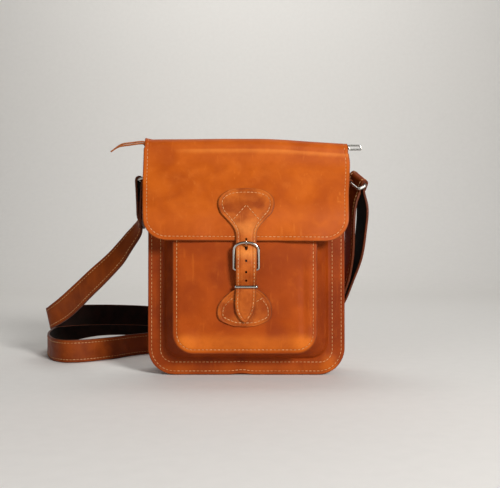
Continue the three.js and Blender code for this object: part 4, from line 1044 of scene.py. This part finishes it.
def buckle_chape():
    half = LEATHER / 2
    lying = POCKET_FACE - GAP - half
    wrap = BAR + GAP + half
    at_keeper = POCKET_FACE - GAP - KEEPER_BAND - GAP - half
    rows = []
    for i in range(61):
        up = (i / 60) ** 1.5 * 0.7
        rows.append((lying, CHAPE_FOOT + up * CHAPE_LENGTH, CHAPE_HALF * smooth(CHAPE, up)))
    for up, y in ((0.74, mix(lying, at_keeper, 0.4)), (0.8, mix(lying, at_keeper, 0.75)), (0.85, mix(lying, at_keeper, 0.93)),
                  (0.9, at_keeper), (0.95, at_keeper - 0.2 * MM), (1, at_keeper - 0.5 * MM)):
        rows.append((y, CHAPE_FOOT + up * CHAPE_LENGTH, CHAPE_HALF * smooth(CHAPE, up)))
    rise = PIN_Z - CHAPE_FOOT - CHAPE_LENGTH
    for share in (0.18, 0.35, 0.52, 0.7, 0.86):
        rows.append((mix(at_keeper - 0.5 * MM, PIN_Y - wrap, ease(share)), CHAPE_FOOT + CHAPE_LENGTH + rise * share,
                     CLOSURE_HALF))
    for i in range(17):
        angle = i / 16 * math.pi
        rows.append((PIN_Y - wrap * math.cos(angle), PIN_Z + wrap * math.sin(angle), CLOSURE_HALF))
    rows.append((lying - 1.2 * MM, PIN_Z - 9 * MM, CLOSURE_HALF))
    rows.append((lying, keeper_high.z + 3 * MM, CLOSURE_HALF))
    keys = row_lengths(rows)

    def place(u, v):
        y, z, reach = at_share(keys, rows, v)
        x = u * reach
        low = (z - CHAPE_FOOT) * 0.8 + (reach - abs(x)) * 0.4
        # dark: painted shadow of the closing strap on the lower spoon's left part; the whole piece is also set a little
        # darker
        dark = 0.8 * bump(math.hypot((x + 18 * MM) / (14 * MM), (z - 86 * MM) / (14 * MM)))
        return Vector((x + chape_drift(z), y, z)), min(reach - abs(x), low), -dark - 0.3

    piece = hide("lower_spoon_leather", 36, 150, place, lambda c: Vector((0, -1, 0)), (SPOON_LEATHER, SUEDE, EDGE),
                 offset=0.0)
    bpy.ops.object.select_all(action="DESELECT")
    slot_height = wrap + 9 * MM
    bpy.ops.mesh.primitive_cube_add(size=1, location=(0, PIN_Y, PIN_Z + slot_height / 2 - 7 * MM),
                                    scale=(2 * PRONG + 1.6 * MM, 30 * MM, slot_height))
    cutter = bpy.context.object
    cutter.data.materials.append(EDGE)
    cut = piece.modifiers.new("prong slot", "BOOLEAN")
    cut.operation = "DIFFERENCE"
    cut.object = cutter
    cut.solver = "EXACT"
    apply_modifiers(piece)
    bpy.data.objects.remove(cutter)

    def mirrored_half(z):
        return CHAPE_HALF * smooth(CHAPE, (top - z) / CHAPE_LENGTH)

    top = CHAPE_FOOT + CHAPE_LENGTH
    face = lying - half
    side = inset_side(mirrored_half, lambda z: mix(8.2 * MM, 4.6 * MM, (z - CHAPE_FOOT) / CHAPE_LENGTH),
                      CHAPE_FOOT + CHAPE_LENGTH * 0.24, top)
    for sign in (-1, 1):
        row = [Vector((sign * p.x, face - 0.12 * MM, CHAPE_FOOT + top - p.y)) for p in side]
        row.append(Vector((sign * 8 * MM, face - 0.12 * MM, row[-1].z - 6 * MM)))
        for p in row:
            p.x += chape_drift(p.z) + 1.2 * MM
        sew(row, Vector((0, -1, 0)), pitch=SPOON_PITCH)
    return piece


def rounded_loop(centre, across, up, half_across, half_up, upper, lower, arc):
    """Points of a rounded rectangle. upper and lower give its corners' reach (across, up)."""
    points = []
    for a, b, turn in ((1, 1, 0), (-1, 1, 1), (-1, -1, 2), (1, -1, 3)):
        wide, tall = upper if b > 0 else lower
        for i in range(arc + 1):
            angle = (turn + i / arc) * math.pi / 2
            points.append(centre + across * (a * (half_across - wide) + wide * math.cos(angle))
                          + up * (b * (half_up - tall) + tall * math.sin(angle)))
    return points


def fill_in(points, step, closed=True):
    """Extra points on the long straight stretches of a polyline."""
    found = []
    pairs = list(zip(points, points[1:] + points[:1])) if closed else list(zip(points, points[1:]))
    for a, b in pairs:
        count = max(1, int((b - a).length / step))
        found += [a.lerp(b, i / count) for i in range(count)]
    return found if closed else found + [points[-1]]


def front_most(z, reach):
    return min(strap_front(z + reach * s) for s in (-1, -0.5, 0, 0.5, 1))


TOP_BAR_Y = front_most(TOP_BAR_Z, FRAME_ARCH * 0.65) - GAP - BAR


def buckle_frame():
    low, high = Vector((0, PIN_Y, PIN_Z)), Vector((0, TOP_BAR_Y, TOP_BAR_Z))
    up = high - low
    corner = FRAME_HALF - CLOSURE_HALF - GAP
    loop = rounded_loop((low + high) / 2, Vector((1, 0, 0)), up.normalized(), FRAME_HALF, up.length / 2,
                        (FRAME_HALF * 0.9, FRAME_ARCH), (corner, corner), 12)
    return loop_tube("buckle_frame_wire", fill_in(loop, 3 * MM), Vector((0, 1, 0)), BAR, BAR, NICKEL_WITH_PAINTED_DARK_REFLECTION)


def buckle_prong():
    hook = BAR + GAP + PRONG
    turn = []
    for i in range(15):
        angle = mix(-0.45, 1.5, i / 14) * math.pi - math.pi / 2
        turn.append(Vector((0, PIN_Y + hook * math.cos(-angle - math.pi / 2),
                            PIN_Z + hook * math.sin(-angle - math.pi / 2))))
    turn.reverse()
    over = TOP_BAR_Y - BAR - GAP - PRONG
    keys = [turn[-3], turn[-1], Vector((0, PIN_Y - 0.2 * MM, mix(PIN_Z, TOP_BAR_Z, 0.36))),
            Vector((0, strap_back(PRONG_HOLE - 8 * MM) + GAP + PRONG * 2.8, PRONG_HOLE - 8 * MM)),
            Vector((0, strap_back(PRONG_HOLE) - CLOSURE_THICK / 2, PRONG_HOLE - 0.6 * MM)),
            Vector((0, over, TOP_BAR_Z - 1.5 * MM)), Vector((0, over, TOP_BAR_Z + 1.2 * MM))]
    rise = smooth_line(keys, 2 * MM)
    start = next(i for i, p in enumerate(rise) if p.z > turn[-1].z + 1 * MM)
    points = turn + rise[start:]
    piece = loop_tube("buckle_prong_wire", points, Vector((1, 0, 0)), PRONG, PRONG, NICKEL_WITH_PAINTED_DARK_REFLECTION, closed=False, sides=12)
    bpy.ops.object.select_all(action="DESELECT")
    bpy.ops.mesh.primitive_uv_sphere_add(segments=16, ring_count=10, radius=PRONG * 1.35,
                                         location=(0, over - 0.1 * MM, TOP_BAR_Z + 0.6 * MM))
    bpy.ops.object.transform_apply(location=True, rotation=True, scale=True)
    tip = bpy.context.object
    tip.data.materials.append(NICKEL_WITH_PAINTED_DARK_REFLECTION)
    bpy.ops.object.shade_smooth()
    tip.select_set(True)
    piece.select_set(True)
    bpy.context.view_layer.objects.active = piece
    bpy.ops.object.join()
    return piece


def smooth_line(keys, step):
    """Points along a smooth curve through keys, chordal spacing evened by the square root of each stretch."""
    points = []
    count = len(keys)
    for i in range(count - 1):
        p1, p2 = keys[i], keys[i + 1]
        p0 = keys[i - 1] if i > 0 else p1 + (p1 - p2)
        p3 = keys[i + 2] if i + 2 < count else p2 + (p2 - p1)
        d0, d1, d2 = ((b - a).length ** 0.5 for a, b in ((p0, p1), (p1, p2), (p2, p3)))
        d0, d2 = (d0 if d0 > 1e-5 else d1), (d2 if d2 > 1e-5 else d1)
        m1 = ((p1 - p0) / d0 - (p2 - p0) / (d0 + d1) + (p2 - p1) / d1) * d1
        m2 = ((p2 - p1) / d1 - (p3 - p1) / (d1 + d2) + (p3 - p2) / d2) * d1
        steps = max(1, int((p2 - p1).length / step))
        for k in range(steps):
            t = k / steps
            points.append(p1 + m1 * t + (p2 * 3 - p1 * 3 - m1 * 2 - m2) * t ** 2 + (p1 * 2 - p2 * 2 + m1 + m2) * t ** 3)
    points.append(keys[-1].copy())
    return points


def strap_keeper():
    half = CLOSURE_HALF + 0.7 * MM + KEEPER_BAND / 2
    back = POCKET_FACE - GAP - KEEPER_BAND / 2
    front = front_most(KEEPER_Z, 3 * MM) - GAP - KEEPER_BAND / 2
    centre = Vector((0, (front + back) / 2, KEEPER_Z))
    corner = (KEEPER_BAND * 1.2, KEEPER_BAND * 1.2)
    loop = rounded_loop(centre, Vector((1, 0, 0)), Vector((0, 1, 0)), half, abs(front - back) / 2, corner, corner, 6)
    return loop_tube("strap_keeper_band", fill_in(loop, 3 * MM), Vector((0, 0, 1)), 1.5 * MM, KEEPER_BAND / 2, NICKEL_WITH_PAINTED_DARK_REFLECTION,
                     square=0.62)


# Zip

def zip_tape():
    low, high = tape_low, tape_high

    def place(u, v):
        return Vector((u * high.x, mix(low.y, high.y, v), high.z)), 9 * MM, 0.0

    piece = hide("zip_tape_cloth", 60, 14, place, lambda c: Vector((0, 0, 1)), (TAPE, TAPE, TAPE),
                 thickness=high.z - low.z, edge_round=0.3 * MM)
    return piece


def zip_teeth():
    bpy.ops.object.select_all(action="DESELECT")
    bpy.ops.mesh.primitive_cube_add(size=1, scale=(1, 3.2 * MM, 1.4 * MM))
    bpy.ops.object.transform_apply(location=True, rotation=True, scale=True)
    tooth = bpy.context.object
    pitch = 2.6 * MM
    count = int(2 * (tape_high.x - 14 * MM) / pitch)
    places = []
    for i in range(count):
        x = (i - (count - 1) / 2) * pitch
        y = (1.1 if i % 2 else -1.1) * MM
        places.append((Vector((x, y, tape_high.z + 0.5 * MM)), Vector((1, 0, 0)), Vector((0, 0, 1)), 1.5 * MM))
    return repeat("zip_teeth", tooth, places, TOOTH)


def zip_slider(name, node):
    low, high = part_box(node)
    centre = (low + high) / 2
    bpy.ops.object.select_all(action="DESELECT")
    bpy.ops.mesh.primitive_cube_add(size=1, location=centre, scale=(high - low))
    piece = bpy.context.object
    piece.name = name
    bpy.ops.object.transform_apply(location=True, rotation=True, scale=True)
    bpy.ops.object.mode_set(mode="EDIT")
    bpy.ops.mesh.select_all(action="SELECT")
    bpy.ops.mesh.bevel(offset=0.9 * MM, segments=4, affect="EDGES")
    bpy.ops.object.mode_set(mode="OBJECT")
    inward = -math.copysign(1, centre.x)
    for vertex in piece.data.vertices:
        if (vertex.co.x - centre.x) * inward > 0:
            vertex.co.y *= 0.72
    piece.data.materials.append(NICKEL_WITH_PAINTED_DARK_REFLECTION)
    only(piece)
    bpy.ops.object.shade_smooth_by_angle(angle=math.radians(40))
    return piece


def zip_pull():
    """Slotted tab of the zip, hung from its slider by a small link."""
    low, high = pull_low, pull_high
    half = (high.z - low.z) / 2
    bar = 1.15 * MM
    neck = 4 * MM
    middle = Vector(((low.x + neck + high.x) / 2, 0, (high.z + low.z) / 2))
    long = (high.x - low.x - neck) / 2
    corner = (half * 0.34, half * 0.34)
    loop = rounded_loop(middle, Vector((1, 0, 0)), Vector((0, 0, 1)), long - bar, half - bar, corner, corner, 6)
    for point in loop:
        point.x += (middle.z - point.z) * 0.3
    piece = loop_tube("zip_pull_metal", loop, Vector((0, 1, 0)), 0.8 * MM, bar, PULL_NICKEL, square=0.7)
    hook = Vector((low.x + neck * 0.6, 0, middle.z))
    eye = (1.1 * MM, 1.1 * MM)
    link = rounded_loop(hook, Vector((1, 0, 0)), Vector((0, 1, 0)), neck * 0.6 - 0.4 * MM, 1.3 * MM, eye, eye, 6)
    ring = loop_tube("zip_pull_link", link, Vector((0, 0, 1)), 0.5 * MM, 0.5 * MM, PULL_NICKEL, sides=10)
    ring.select_set(True)
    piece.select_set(True)
    bpy.context.view_layer.objects.active = piece
    bpy.ops.object.join()
    return piece


THONG = ((0.02, 0, 0.1), (0.09, 0.02, 0.95), (0.2, 0.05, 1.05), (0.45, 0.12, 0.9), (0.78, 0.2, 0.62), (1, 0.3, -0.15))
THONG_LENGTH = 48 * MM
THONG_WIDTH = 3.6 * MM
THONG_THICK = 1.4 * MM
THONG_RISE = 8 * MM


def zip_thong():
    start = tape_high.x + GAP + THONG_THICK
    level = tape_high.z + GAP + THONG_WIDTH / 2

    def strand(spread, length):
        return [Vector((-start - out * length, back * THONG_WIDTH + spread * (1 + i * 0.5),
                        level + rise * THONG_RISE + min(i, 1) * (2.2 * MM if spread > 0 else -0.3 * MM - i * 0.4 * MM)))
                for i, (out, back, rise) in enumerate(THONG)]

    first = strand(-THONG_THICK * 0.8, THONG_LENGTH)
    second = strand(THONG_THICK * 0.8, THONG_LENGTH * 0.94)
    keys = first[::-1] + [Vector((-start + THONG_THICK / 2, 0, level))] + second
    flat, upright = Vector((0, 1, 0.6)).normalized(), Vector((0, 0.25, 1)).normalized()
    widths = [flat] * 5 + [upright] * 3 + [flat] * 5
    piece, _ = strap_piece("zip_thong_leather", keys, widths, THONG_WIDTH, THONG_THICK, (LACE_LEATHER, LACE_LEATHER, LACE_LEATHER),
                           columns=3, step=1.5 * MM)
    return piece


# Rings, tabs and shoulder strap

RINGS = {
    "left": {"side": -1, "bar": Vector((-0.558 * 2 * HALF, 0, 0.828 * TOP)), "across": Vector((0, 1, 0)),
             "reach": Vector((-0.95, 0, -0.31)), "roll": 1.0, "shift": 0.0},
    "right": {"side": 1, "bar": Vector((0.592 * 2 * HALF, -0.004 * 2 * HALF, 0.8356 * TOP)),
              "across": Vector((-0.374, 0.78, 0.497)), "reach": Vector((0.869, 0.108, 0.484)), "roll": 1.0, "shift": 0.5},
}


def ring_axis(ring):
    return ring["across"].normalized()


def ring_outwards(ring):
    axis = ring_axis(ring)
    return (ring["reach"] - axis * ring["reach"].dot(axis)).normalized()


def tab_bar(ring):
    return (ring["bar"] - ring_outwards(ring) * RING_SPAN
            + ring_axis(ring) * (ring["shift"] * (STRAP_WIDTH - TAB_WIDTH)))


def ring_wire(name, ring):
    across, reach = ring_axis(ring), ring_outwards(ring)
    centre = ring["bar"] - reach * (RING_SPAN / 2)
    corner = (RING_WIRE, RING_WIRE)
    loop = rounded_loop(centre, across, reach, RING_HALF, RING_SPAN / 2, corner, corner, 8)
    return loop_tube(name, fill_in(loop, 3 * MM), across.cross(reach), RING_WIRE / 2, RING_WIRE / 2, RING_NICKEL)


def ring_frame(ring):
    tilted = ring_axis(ring)
    up = (Vector((0, 0, 1)) - tilted * tilted.z).normalized()
    out = up.cross(tilted)
    if out.x * ring["side"] < 0:
        out = -out
    return tilted, up, out


def strap_section(width, thickness, columns):
    """Points (across, out, material) round a strap's section: grain side, edge, flesh side, edge."""
    radius = min(0.9 * MM, thickness * 0.42)
    flat, rise = width / 2 - radius, thickness / 2 - radius
    points = [(mix(-flat, flat, i / columns), thickness / 2, 0) for i in range(columns)]
    for angle in (90, 60, 30, 0):
        turn = math.radians(angle)
        points.append((flat + radius * math.cos(turn), rise + radius * math.sin(turn), 2 if angle < 90 else 0))
    points.append((flat + radius, -rise, 2))
    for angle in (-30, -60):
        turn = math.radians(angle)
        points.append((flat + radius * math.cos(turn), -rise + radius * math.sin(turn), 2))
    points += [(mix(flat, -flat, i / columns), -thickness / 2, 1) for i in range(columns)]
    for angle in (-90, -120, -150, -180):
        turn = math.radians(angle)
        points.append((-flat + radius * math.cos(turn), -rise + radius * math.sin(turn), 2))
    for angle in (180, 150, 120):
        turn = math.radians(angle)
        points.append((-flat + radius * math.cos(turn), rise + radius * math.sin(turn), 2))
    return points


def strap_piece(name, centres, widths, width, thickness, materials, columns=6, step=1.5 * MM, worn_and_painted_light=None):
    """A strap along centres, with widths pointing from its near edge to its far edge. Also gives its stations."""
    points = smooth_line(centres, step)
    marks = [0]
    for a, b in zip(centres, centres[1:]):
        marks.append(marks[-1] + max(1, int((b - a).length / step)))
    turned, k = [], 0
    for i in range(len(points)):
        while k < len(marks) - 2 and marks[k + 1] < i:
            k += 1
        turned.append(widths[k].lerp(widths[k + 1], ease((i - marks[k]) / (marks[k + 1] - marks[k]))).normalized())
    for _ in range(4):
        turned = [turned[0]] + [(a + b * 2 + c).normalized() for a, b, c in
                                zip(turned, turned[1:], turned[2:])] + [turned[-1]]
    count = len(points) - 1
    stations = []
    for i, spot in enumerate(points):
        along = (points[min(i + 1, count)] - points[max(i - 1, 0)]).normalized()
        across = (turned[i] - along * turned[i].dot(along)).normalized()
        stations.append((spot, across, across.cross(along)))
    section = strap_section(width, thickness, columns)
    around = len(section)
    bpy.ops.object.select_all(action="DESELECT")
    bpy.ops.mesh.primitive_grid_add(x_subdivisions=around, y_subdivisions=count, size=2)
    piece = bpy.context.object
    piece.name = name
    mesh = piece.data
    edge = mesh.attributes.new("cut_edge", "FLOAT", "POINT")
    wear_and_painted_light = mesh.attributes.new("wear_and_painted_light", "FLOAT", "POINT")
    for vertex in mesh.vertices:
        i = round((vertex.co.y + 1) / 2 * count)
        a, b, _ = section[round((vertex.co.x + 1) / 2 * around) % around]
        spot, across, out = stations[i]
        vertex.co = spot + across * a + out * b
        edge.data[vertex.index].value = min(width / 2 - abs(a), (min(i, count - i) + 0.3) * step) * 1000
        wear_and_painted_light.data[vertex.index].value = worn_and_painted_light(i / count) if worn_and_painted_light else 0.0
    for material in materials:
        mesh.materials.append(material)
    for face in mesh.polygons:
        face.material_index = section[face.index % around][2]
    only(piece)
    bpy.ops.object.mode_set(mode="EDIT")
    bpy.ops.mesh.select_all(action="SELECT")
    bpy.ops.mesh.remove_doubles(threshold=1e-6)
    bpy.ops.mesh.fill_holes(sides=around)
    bpy.ops.mesh.normals_make_consistent(inside=False)
    bpy.ops.object.mode_set(mode="OBJECT")
    bpy.ops.object.shade_smooth_by_angle(angle=math.radians(50))
    return piece, stations


def ring_tab(name, ring):
    bar = tab_bar(ring)
    side = ring["side"]
    wall = side * (INNER_WALL + GAP + LEATHER / 2)
    over = side * (LEATHER + GAP)
    wrap = RING_WIRE / 2 + 2 * GAP + LEATHER / 2
    straight = Vector((0, 1, 0))
    tilted, up, out = ring_frame(ring)
    half_turned = straight.lerp(tilted, 0.5)
    foot = bar.z - 44 * MM
    keys = [
        (Vector((wall, 0, foot)), straight), (Vector((wall, 0, mix(foot, bar.z, 0.4))), straight),
        (Vector((wall, 0, mix(foot, bar.z, 0.8))), straight),
        (Vector((mix(wall, bar.x, 0.35), bar.y * 0.35, bar.z + wrap)), half_turned),
    ]
    for i in range(7):
        angle = mix(0.62, -0.5, i / 6) * math.pi
        keys.append((bar + out * (wrap * math.cos(angle)) + up * (wrap * math.sin(angle)), tilted))
    keys.append((Vector((mix(wall, bar.x, 0.5), bar.y * 0.5, bar.z - wrap * 2.8)), half_turned))
    keys.append((Vector((wall + over, 0, mix(foot, bar.z, 0.45))), straight))
    keys.append((Vector((wall + over, 0, foot + 1 * MM)), straight))
    piece, _ = strap_piece(name, [k[0] for k in keys], [k[1] for k in keys], TAB_WIDTH, LEATHER,
                           (SHADED_STRAP_LEATHER, SUEDE, EDGE))
    return piece


ROUTE_KEYS = (
    (-0.566, 0, 0.68, (0, 1, 0)), (-0.574, 0.008, 0.6, (-0.43, 0.83, 0.37)),
    (-0.624, 0.028, 0.539, (-0.5, 0.74, 0.46)), (-0.699, 0.072, 0.459, (-0.55, 0.6, 0.59)),
    (-0.865, 0.176, 0.334, (-0.6, 0.4, 0.69)), (-1.041, 0.312, 0.214, (-0.67, 0.2, 0.71)),
    (-1.151, 0.4, 0.149, (-0.33, 0.33, 0.88)), (-1.165, 0.52, 0.14, (-0.12, 0.1, 0.98)),
    (-1.035, 0.66, 0.138, (0, 0, 1)), (-0.812, 0.8, 0.129, (0, 0, 1)), (-0.62, 0.88, 0.115, (0, 0, 1)),
    (-0.46, 0.88, 0.095, (0, 0, 1)), (-0.385, 0.8, 0.06, (0, 0, 1)), (-0.43, 0.7, 0.025, (0, 0, 1)),
    (-0.54, 0.64, 0.004, (0, 0, 1)), (-0.623, 0.59, 0, (0, 0, 1)), (-0.705, 0.508, 0, (0, 0, 1)),
    (-0.766, 0.418, 0, (0, 0, 1)), (-0.832, 0.348, 0, (0, 0, 1)), (-0.917, 0.281, 0, (0, 0, 1)),
    (-1.013, 0.256, 0, (0, 0, 1)), (-1.091, 0.312, 0, (0, 0, 1)), (-1.165, 0.45, 0, (0, 0, 1)),
    (-1.225, 0.65, 0.002, (0, 0, 1)), (-1.235, 0.86, 0.008, (0, 0, 1)), (-1.176, 0.98, 0.022, (0, 0, 1)),
    (-1.025, 1.035, 0.045, (0, 0, 1)), (-0.848, 1.04, 0.052, (0, 0, 1)), (-0.64, 1.04, 0.044, (0, 0, 1)),
    (-0.4, 1.02, 0.045, (0, 0, 1)), (-0.12, 0.9, 0.06, (0, 0, 1)), (0.16, 0.68, 0.09, (0, 0.1, 1)),
    (0.34, 0.44, 0.14, (-0.1, 0.4, 0.9)), (0.46, 0.27, 0.205, (-0.15, 0.65, 0.7)),
    (0.515, 0.155, 0.29, (-0.22, 0.8, 0.5)), (0.555, 0.085, 0.39, (-0.2, 0.88, 0.4)),
    (0.592, 0.04, 0.49, (-0.2, 0.92, 0.35)), (0.607, 0.016, 0.59, (-0.22, 0.92, 0.36)),
    (0.613, 0.008, 0.69, (-0.26, 0.88, 0.4)),
)
TAIL_KEYS = (
    (0.549, 0.008, 0.7, (-0.28, 0.86, 0.42)), (0.547, 0.012, 0.59, (-0.2, 0.92, 0.36)),
    (0.545, 0.03, 0.5, (-0.2, 0.92, 0.35)), (0.531, 0.07, 0.4, (-0.2, 0.88, 0.4)),
    (0.511, 0.11, 0.335, (-0.21, 0.84, 0.45)),
)
FLOOR_PLAY = 0.3 * MM


def station(side, back, lift, w):
    width = Vector(w).normalized()
    height = FLOOR_PLAY + lift * TOP + STRAP_WIDTH / 2 * abs(width.z)
    return Vector((side * 2 * HALF, back * 2 * HALF, height)), width


def roll_foot(ring, side):
    """Place below the roll where a leaf is clear of the ring, on its outer side (1) or its inner side (-1)."""
    tilted, up, out = ring_frame(ring)
    radius = RING_WIRE / 2 + GAP + STRAP_THICK / 2
    return ring["bar"] + out * (radius * side) - up * ROLL_EXIT, tilted


def strap_roll(ring, inward):
    tilted, up, out = ring_frame(ring)
    inner = RING_WIRE / 2 + GAP
    radius = (inner + STRAP_THICK / 2) * ring["roll"]
    centre = ring["bar"] + up * (inner + STRAP_THICK / 2 - radius)
    turn = []
    for i in range(9):
        angle = mix(1.02, -0.02, i / 8) * math.pi
        turn.append((centre + out * (radius * math.cos(angle)) + up * (radius * math.sin(angle)), tilted))
    return turn[::-1] if inward else turn


def shoulder_strap():
    left = RINGS["left"]
    bar = left["bar"]
    offset = RING_WIRE / 2 + GAP + STRAP_THICK / 2
    close = bar.x + STRAP_THICK / 2 + GAP
    straight = Vector((0, 1, 0))
    keys = [(Vector((close, 0, share * TOP)), straight) for share in (0.62, 0.7)]
    keys.append((Vector(((bar.x + offset + close) / 2, 0, 0.76 * TOP)), straight))
    keys += strap_roll(left, False)
    keys.append((Vector((bar.x - offset * 0.75, 0, 0.765 * TOP)), straight))
    keys += [station(*row) for row in ROUTE_KEYS]
    keys.append(roll_foot(RINGS["right"], 1.15))
    keys += strap_roll(RINGS["right"], True)
    keys.append(roll_foot(RINGS["right"], -1))
    keys += [station(*row) for row in TAIL_KEYS]
    piece, stations = strap_piece("shoulder_strap_leather", [k[0] for k in keys], [k[1] for k in keys], STRAP_WIDTH,
                                  STRAP_THICK, (SHADED_STRAP_LEATHER, SHADED_STRAP_SUEDE, EDGE), columns=10, step=2.5 * MM)
    reach = STRAP_WIDTH / 2 - STRAP_INSET
    inner = stations[3:-3]
    for edge in (-1, 1):
        line = [spot + across * (edge * reach) + out * (STRAP_THICK / 2) for spot, across, out in inner]
        sew(line, lambda share: inner[round(share * (len(inner) - 1))][2])
    return piece


def thread_piece():
    bpy.ops.object.select_all(action="DESELECT")
    bpy.ops.mesh.primitive_uv_sphere_add(segments=8, ring_count=6, radius=0.5, rotation=(0, math.pi / 2, 0))
    bpy.ops.object.transform_apply(location=True, rotation=True, scale=True)
    base = bpy.context.object
    for vertex in base.data.vertices:
        vertex.co.x = math.copysign(abs(vertex.co.x * 2) ** 0.75 / 2, vertex.co.x)
        vertex.co.y *= STITCH_WIDTH
        vertex.co.z *= STITCH_WIDTH * 0.8
    return repeat("seam_stitches", base, stitches, THREAD)


def ready(piece, nodes):
    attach(piece, "root")
    if nodes:
        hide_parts(*nodes)


ready(back_and_flap(), ["back_and_flap"])
ready(front_panel(), ["front_panel"])
ready(main_gusset(), ["main_gusset"])
ready(pocket_gusset(), ["pocket_gusset"])
ready(pocket_panel(), ["pocket_panel"])
ready(closure_strap(), ["closure_strap"])
ready(buckle_chape(), ["buckle_chape"])
ready(buckle_frame(), ["buckle_frame"])
ready(buckle_prong(), ["buckle_prong"])
ready(strap_keeper(), ["strap_keeper"])
ready(zip_tape(), ["zip_tape"])
ready(zip_teeth(), [])
ready(zip_slider("zip_slider_left_metal", "zip_slider_left"), ["zip_slider_left"])
ready(zip_slider("zip_slider_right_metal", "zip_slider_right"), ["zip_slider_right"])
ready(zip_pull(), ["zip_pull"])
ready(zip_thong(), ["zip_thong"])
for side_name, ring_sizes in RINGS.items():
    ready(ring_wire(f"ring_{side_name}_wire", ring_sizes), [f"ring_{side_name}"])
    ready(ring_tab(f"ring_tab_{side_name}_leather", ring_sizes), [f"ring_tab_{side_name}"])
ready(shoulder_strap(), ["shoulder_strap"])
ready(thread_piece(), [])


# Studio

def painted_floor():
    """Matt white-grey studio paper."""
    material, tree, shader, _ = new_material("studio_paper")
    spot = add(tree, "ShaderNodeTexCoord").outputs["Object"]
    tooth = add(tree, "ShaderNodeTexNoise", {"Vector": spot, "Scale": 60.0, "Detail": 3.0}).outputs["Fac"]
    colour = blend_colour(tree, tooth, linear("#E9E6E1"), linear("#EFECE7"))
    tree.links.new(colour, shader.inputs["Base Color"])
    shader.inputs["Roughness"].default_value = 0.95
    return material


def studio_sweep():
    """Floor that rises in a wide curve into a backdrop."""
    reach, radius, tall = 1.6, 0.9, 2.4
    bpy.ops.object.select_all(action="DESELECT")
    bpy.ops.mesh.primitive_grid_add(x_subdivisions=4, y_subdivisions=60, size=2)
    sweep = bpy.context.object
    sweep.name = "studio_sweep"
    total = reach * 3 + radius * math.pi / 2 + tall
    for vertex in sweep.data.vertices:
        run = (vertex.co.y + 1) / 2 * total
        if run < reach * 3:
            y, z = run - reach * 2, 0.0
        elif run < reach * 3 + radius * math.pi / 2:
            angle = (run - reach * 3) / radius
            y, z = reach + radius * math.sin(angle), radius * (1 - math.cos(angle))
        else:
            y, z = reach + radius, radius + run - reach * 3 - radius * math.pi / 2
        vertex.co = Vector((vertex.co.x * 4, y, z))
    sweep.data.materials.append(painted_floor())
    bpy.ops.object.shade_smooth()


def studio():
    studio_sweep()
    world = bpy.data.worlds.new("studio_air")
    bpy.context.scene.world = world
    world.use_nodes = True
    background = world.node_tree.nodes["Background"]
    background.inputs["Color"].default_value = linear("#B9B7B4")
    background.inputs["Strength"].default_value = 0.12
    for name, spot, size, power in (
            ("key", (1.05, -1.75, 0.95), 0.5, 47), ("fill", (-1.3, -1.7, 0.6), 1.0, 5), ("backdrop", (0, 0.9, 2.3), 1.6, 26)):
        bpy.ops.object.light_add(type="AREA", location=spot)
        lamp = bpy.context.object
        lamp.name = name
        lamp.data.size = size
        lamp.data.energy = power
        aim = Vector((0, 2.5, 0.5) if name == "backdrop" else (0, 0, 0.15)) - Vector(spot)
        lamp.rotation_euler = aim.to_track_quat("-Z", "Y").to_euler()


PIXELS_WIDE = 500
FOCAL_PIXELS = 700
SENSOR = 36.0
CAMERA_DISTANCE = 923 * MM
CAMERA_HEIGHT = 157.5 * MM
HORIZON_BELOW_CENTRE = 7
CENTRE_OFFSET = 3.5


def photo_camera():
    data = bpy.data.cameras.new("photo_camera")
    data.sensor_width = SENSOR
    data.lens = FOCAL_PIXELS / PIXELS_WIDE * SENSOR
    camera = bpy.data.objects.new("photo_camera", data)
    bpy.context.scene.collection.objects.link(camera)
    x = CENTRE_OFFSET / FOCAL_PIXELS * CAMERA_DISTANCE
    camera.location = (x, -CAMERA_DISTANCE, CAMERA_HEIGHT)
    camera.rotation_euler = (math.pi / 2 + math.atan(HORIZON_BELOW_CENTRE / FOCAL_PIXELS), 0, 0)
    bpy.context.scene.camera = camera


studio()
photo_camera()
bpy.context.scene.view_settings.view_transform = "Standard"
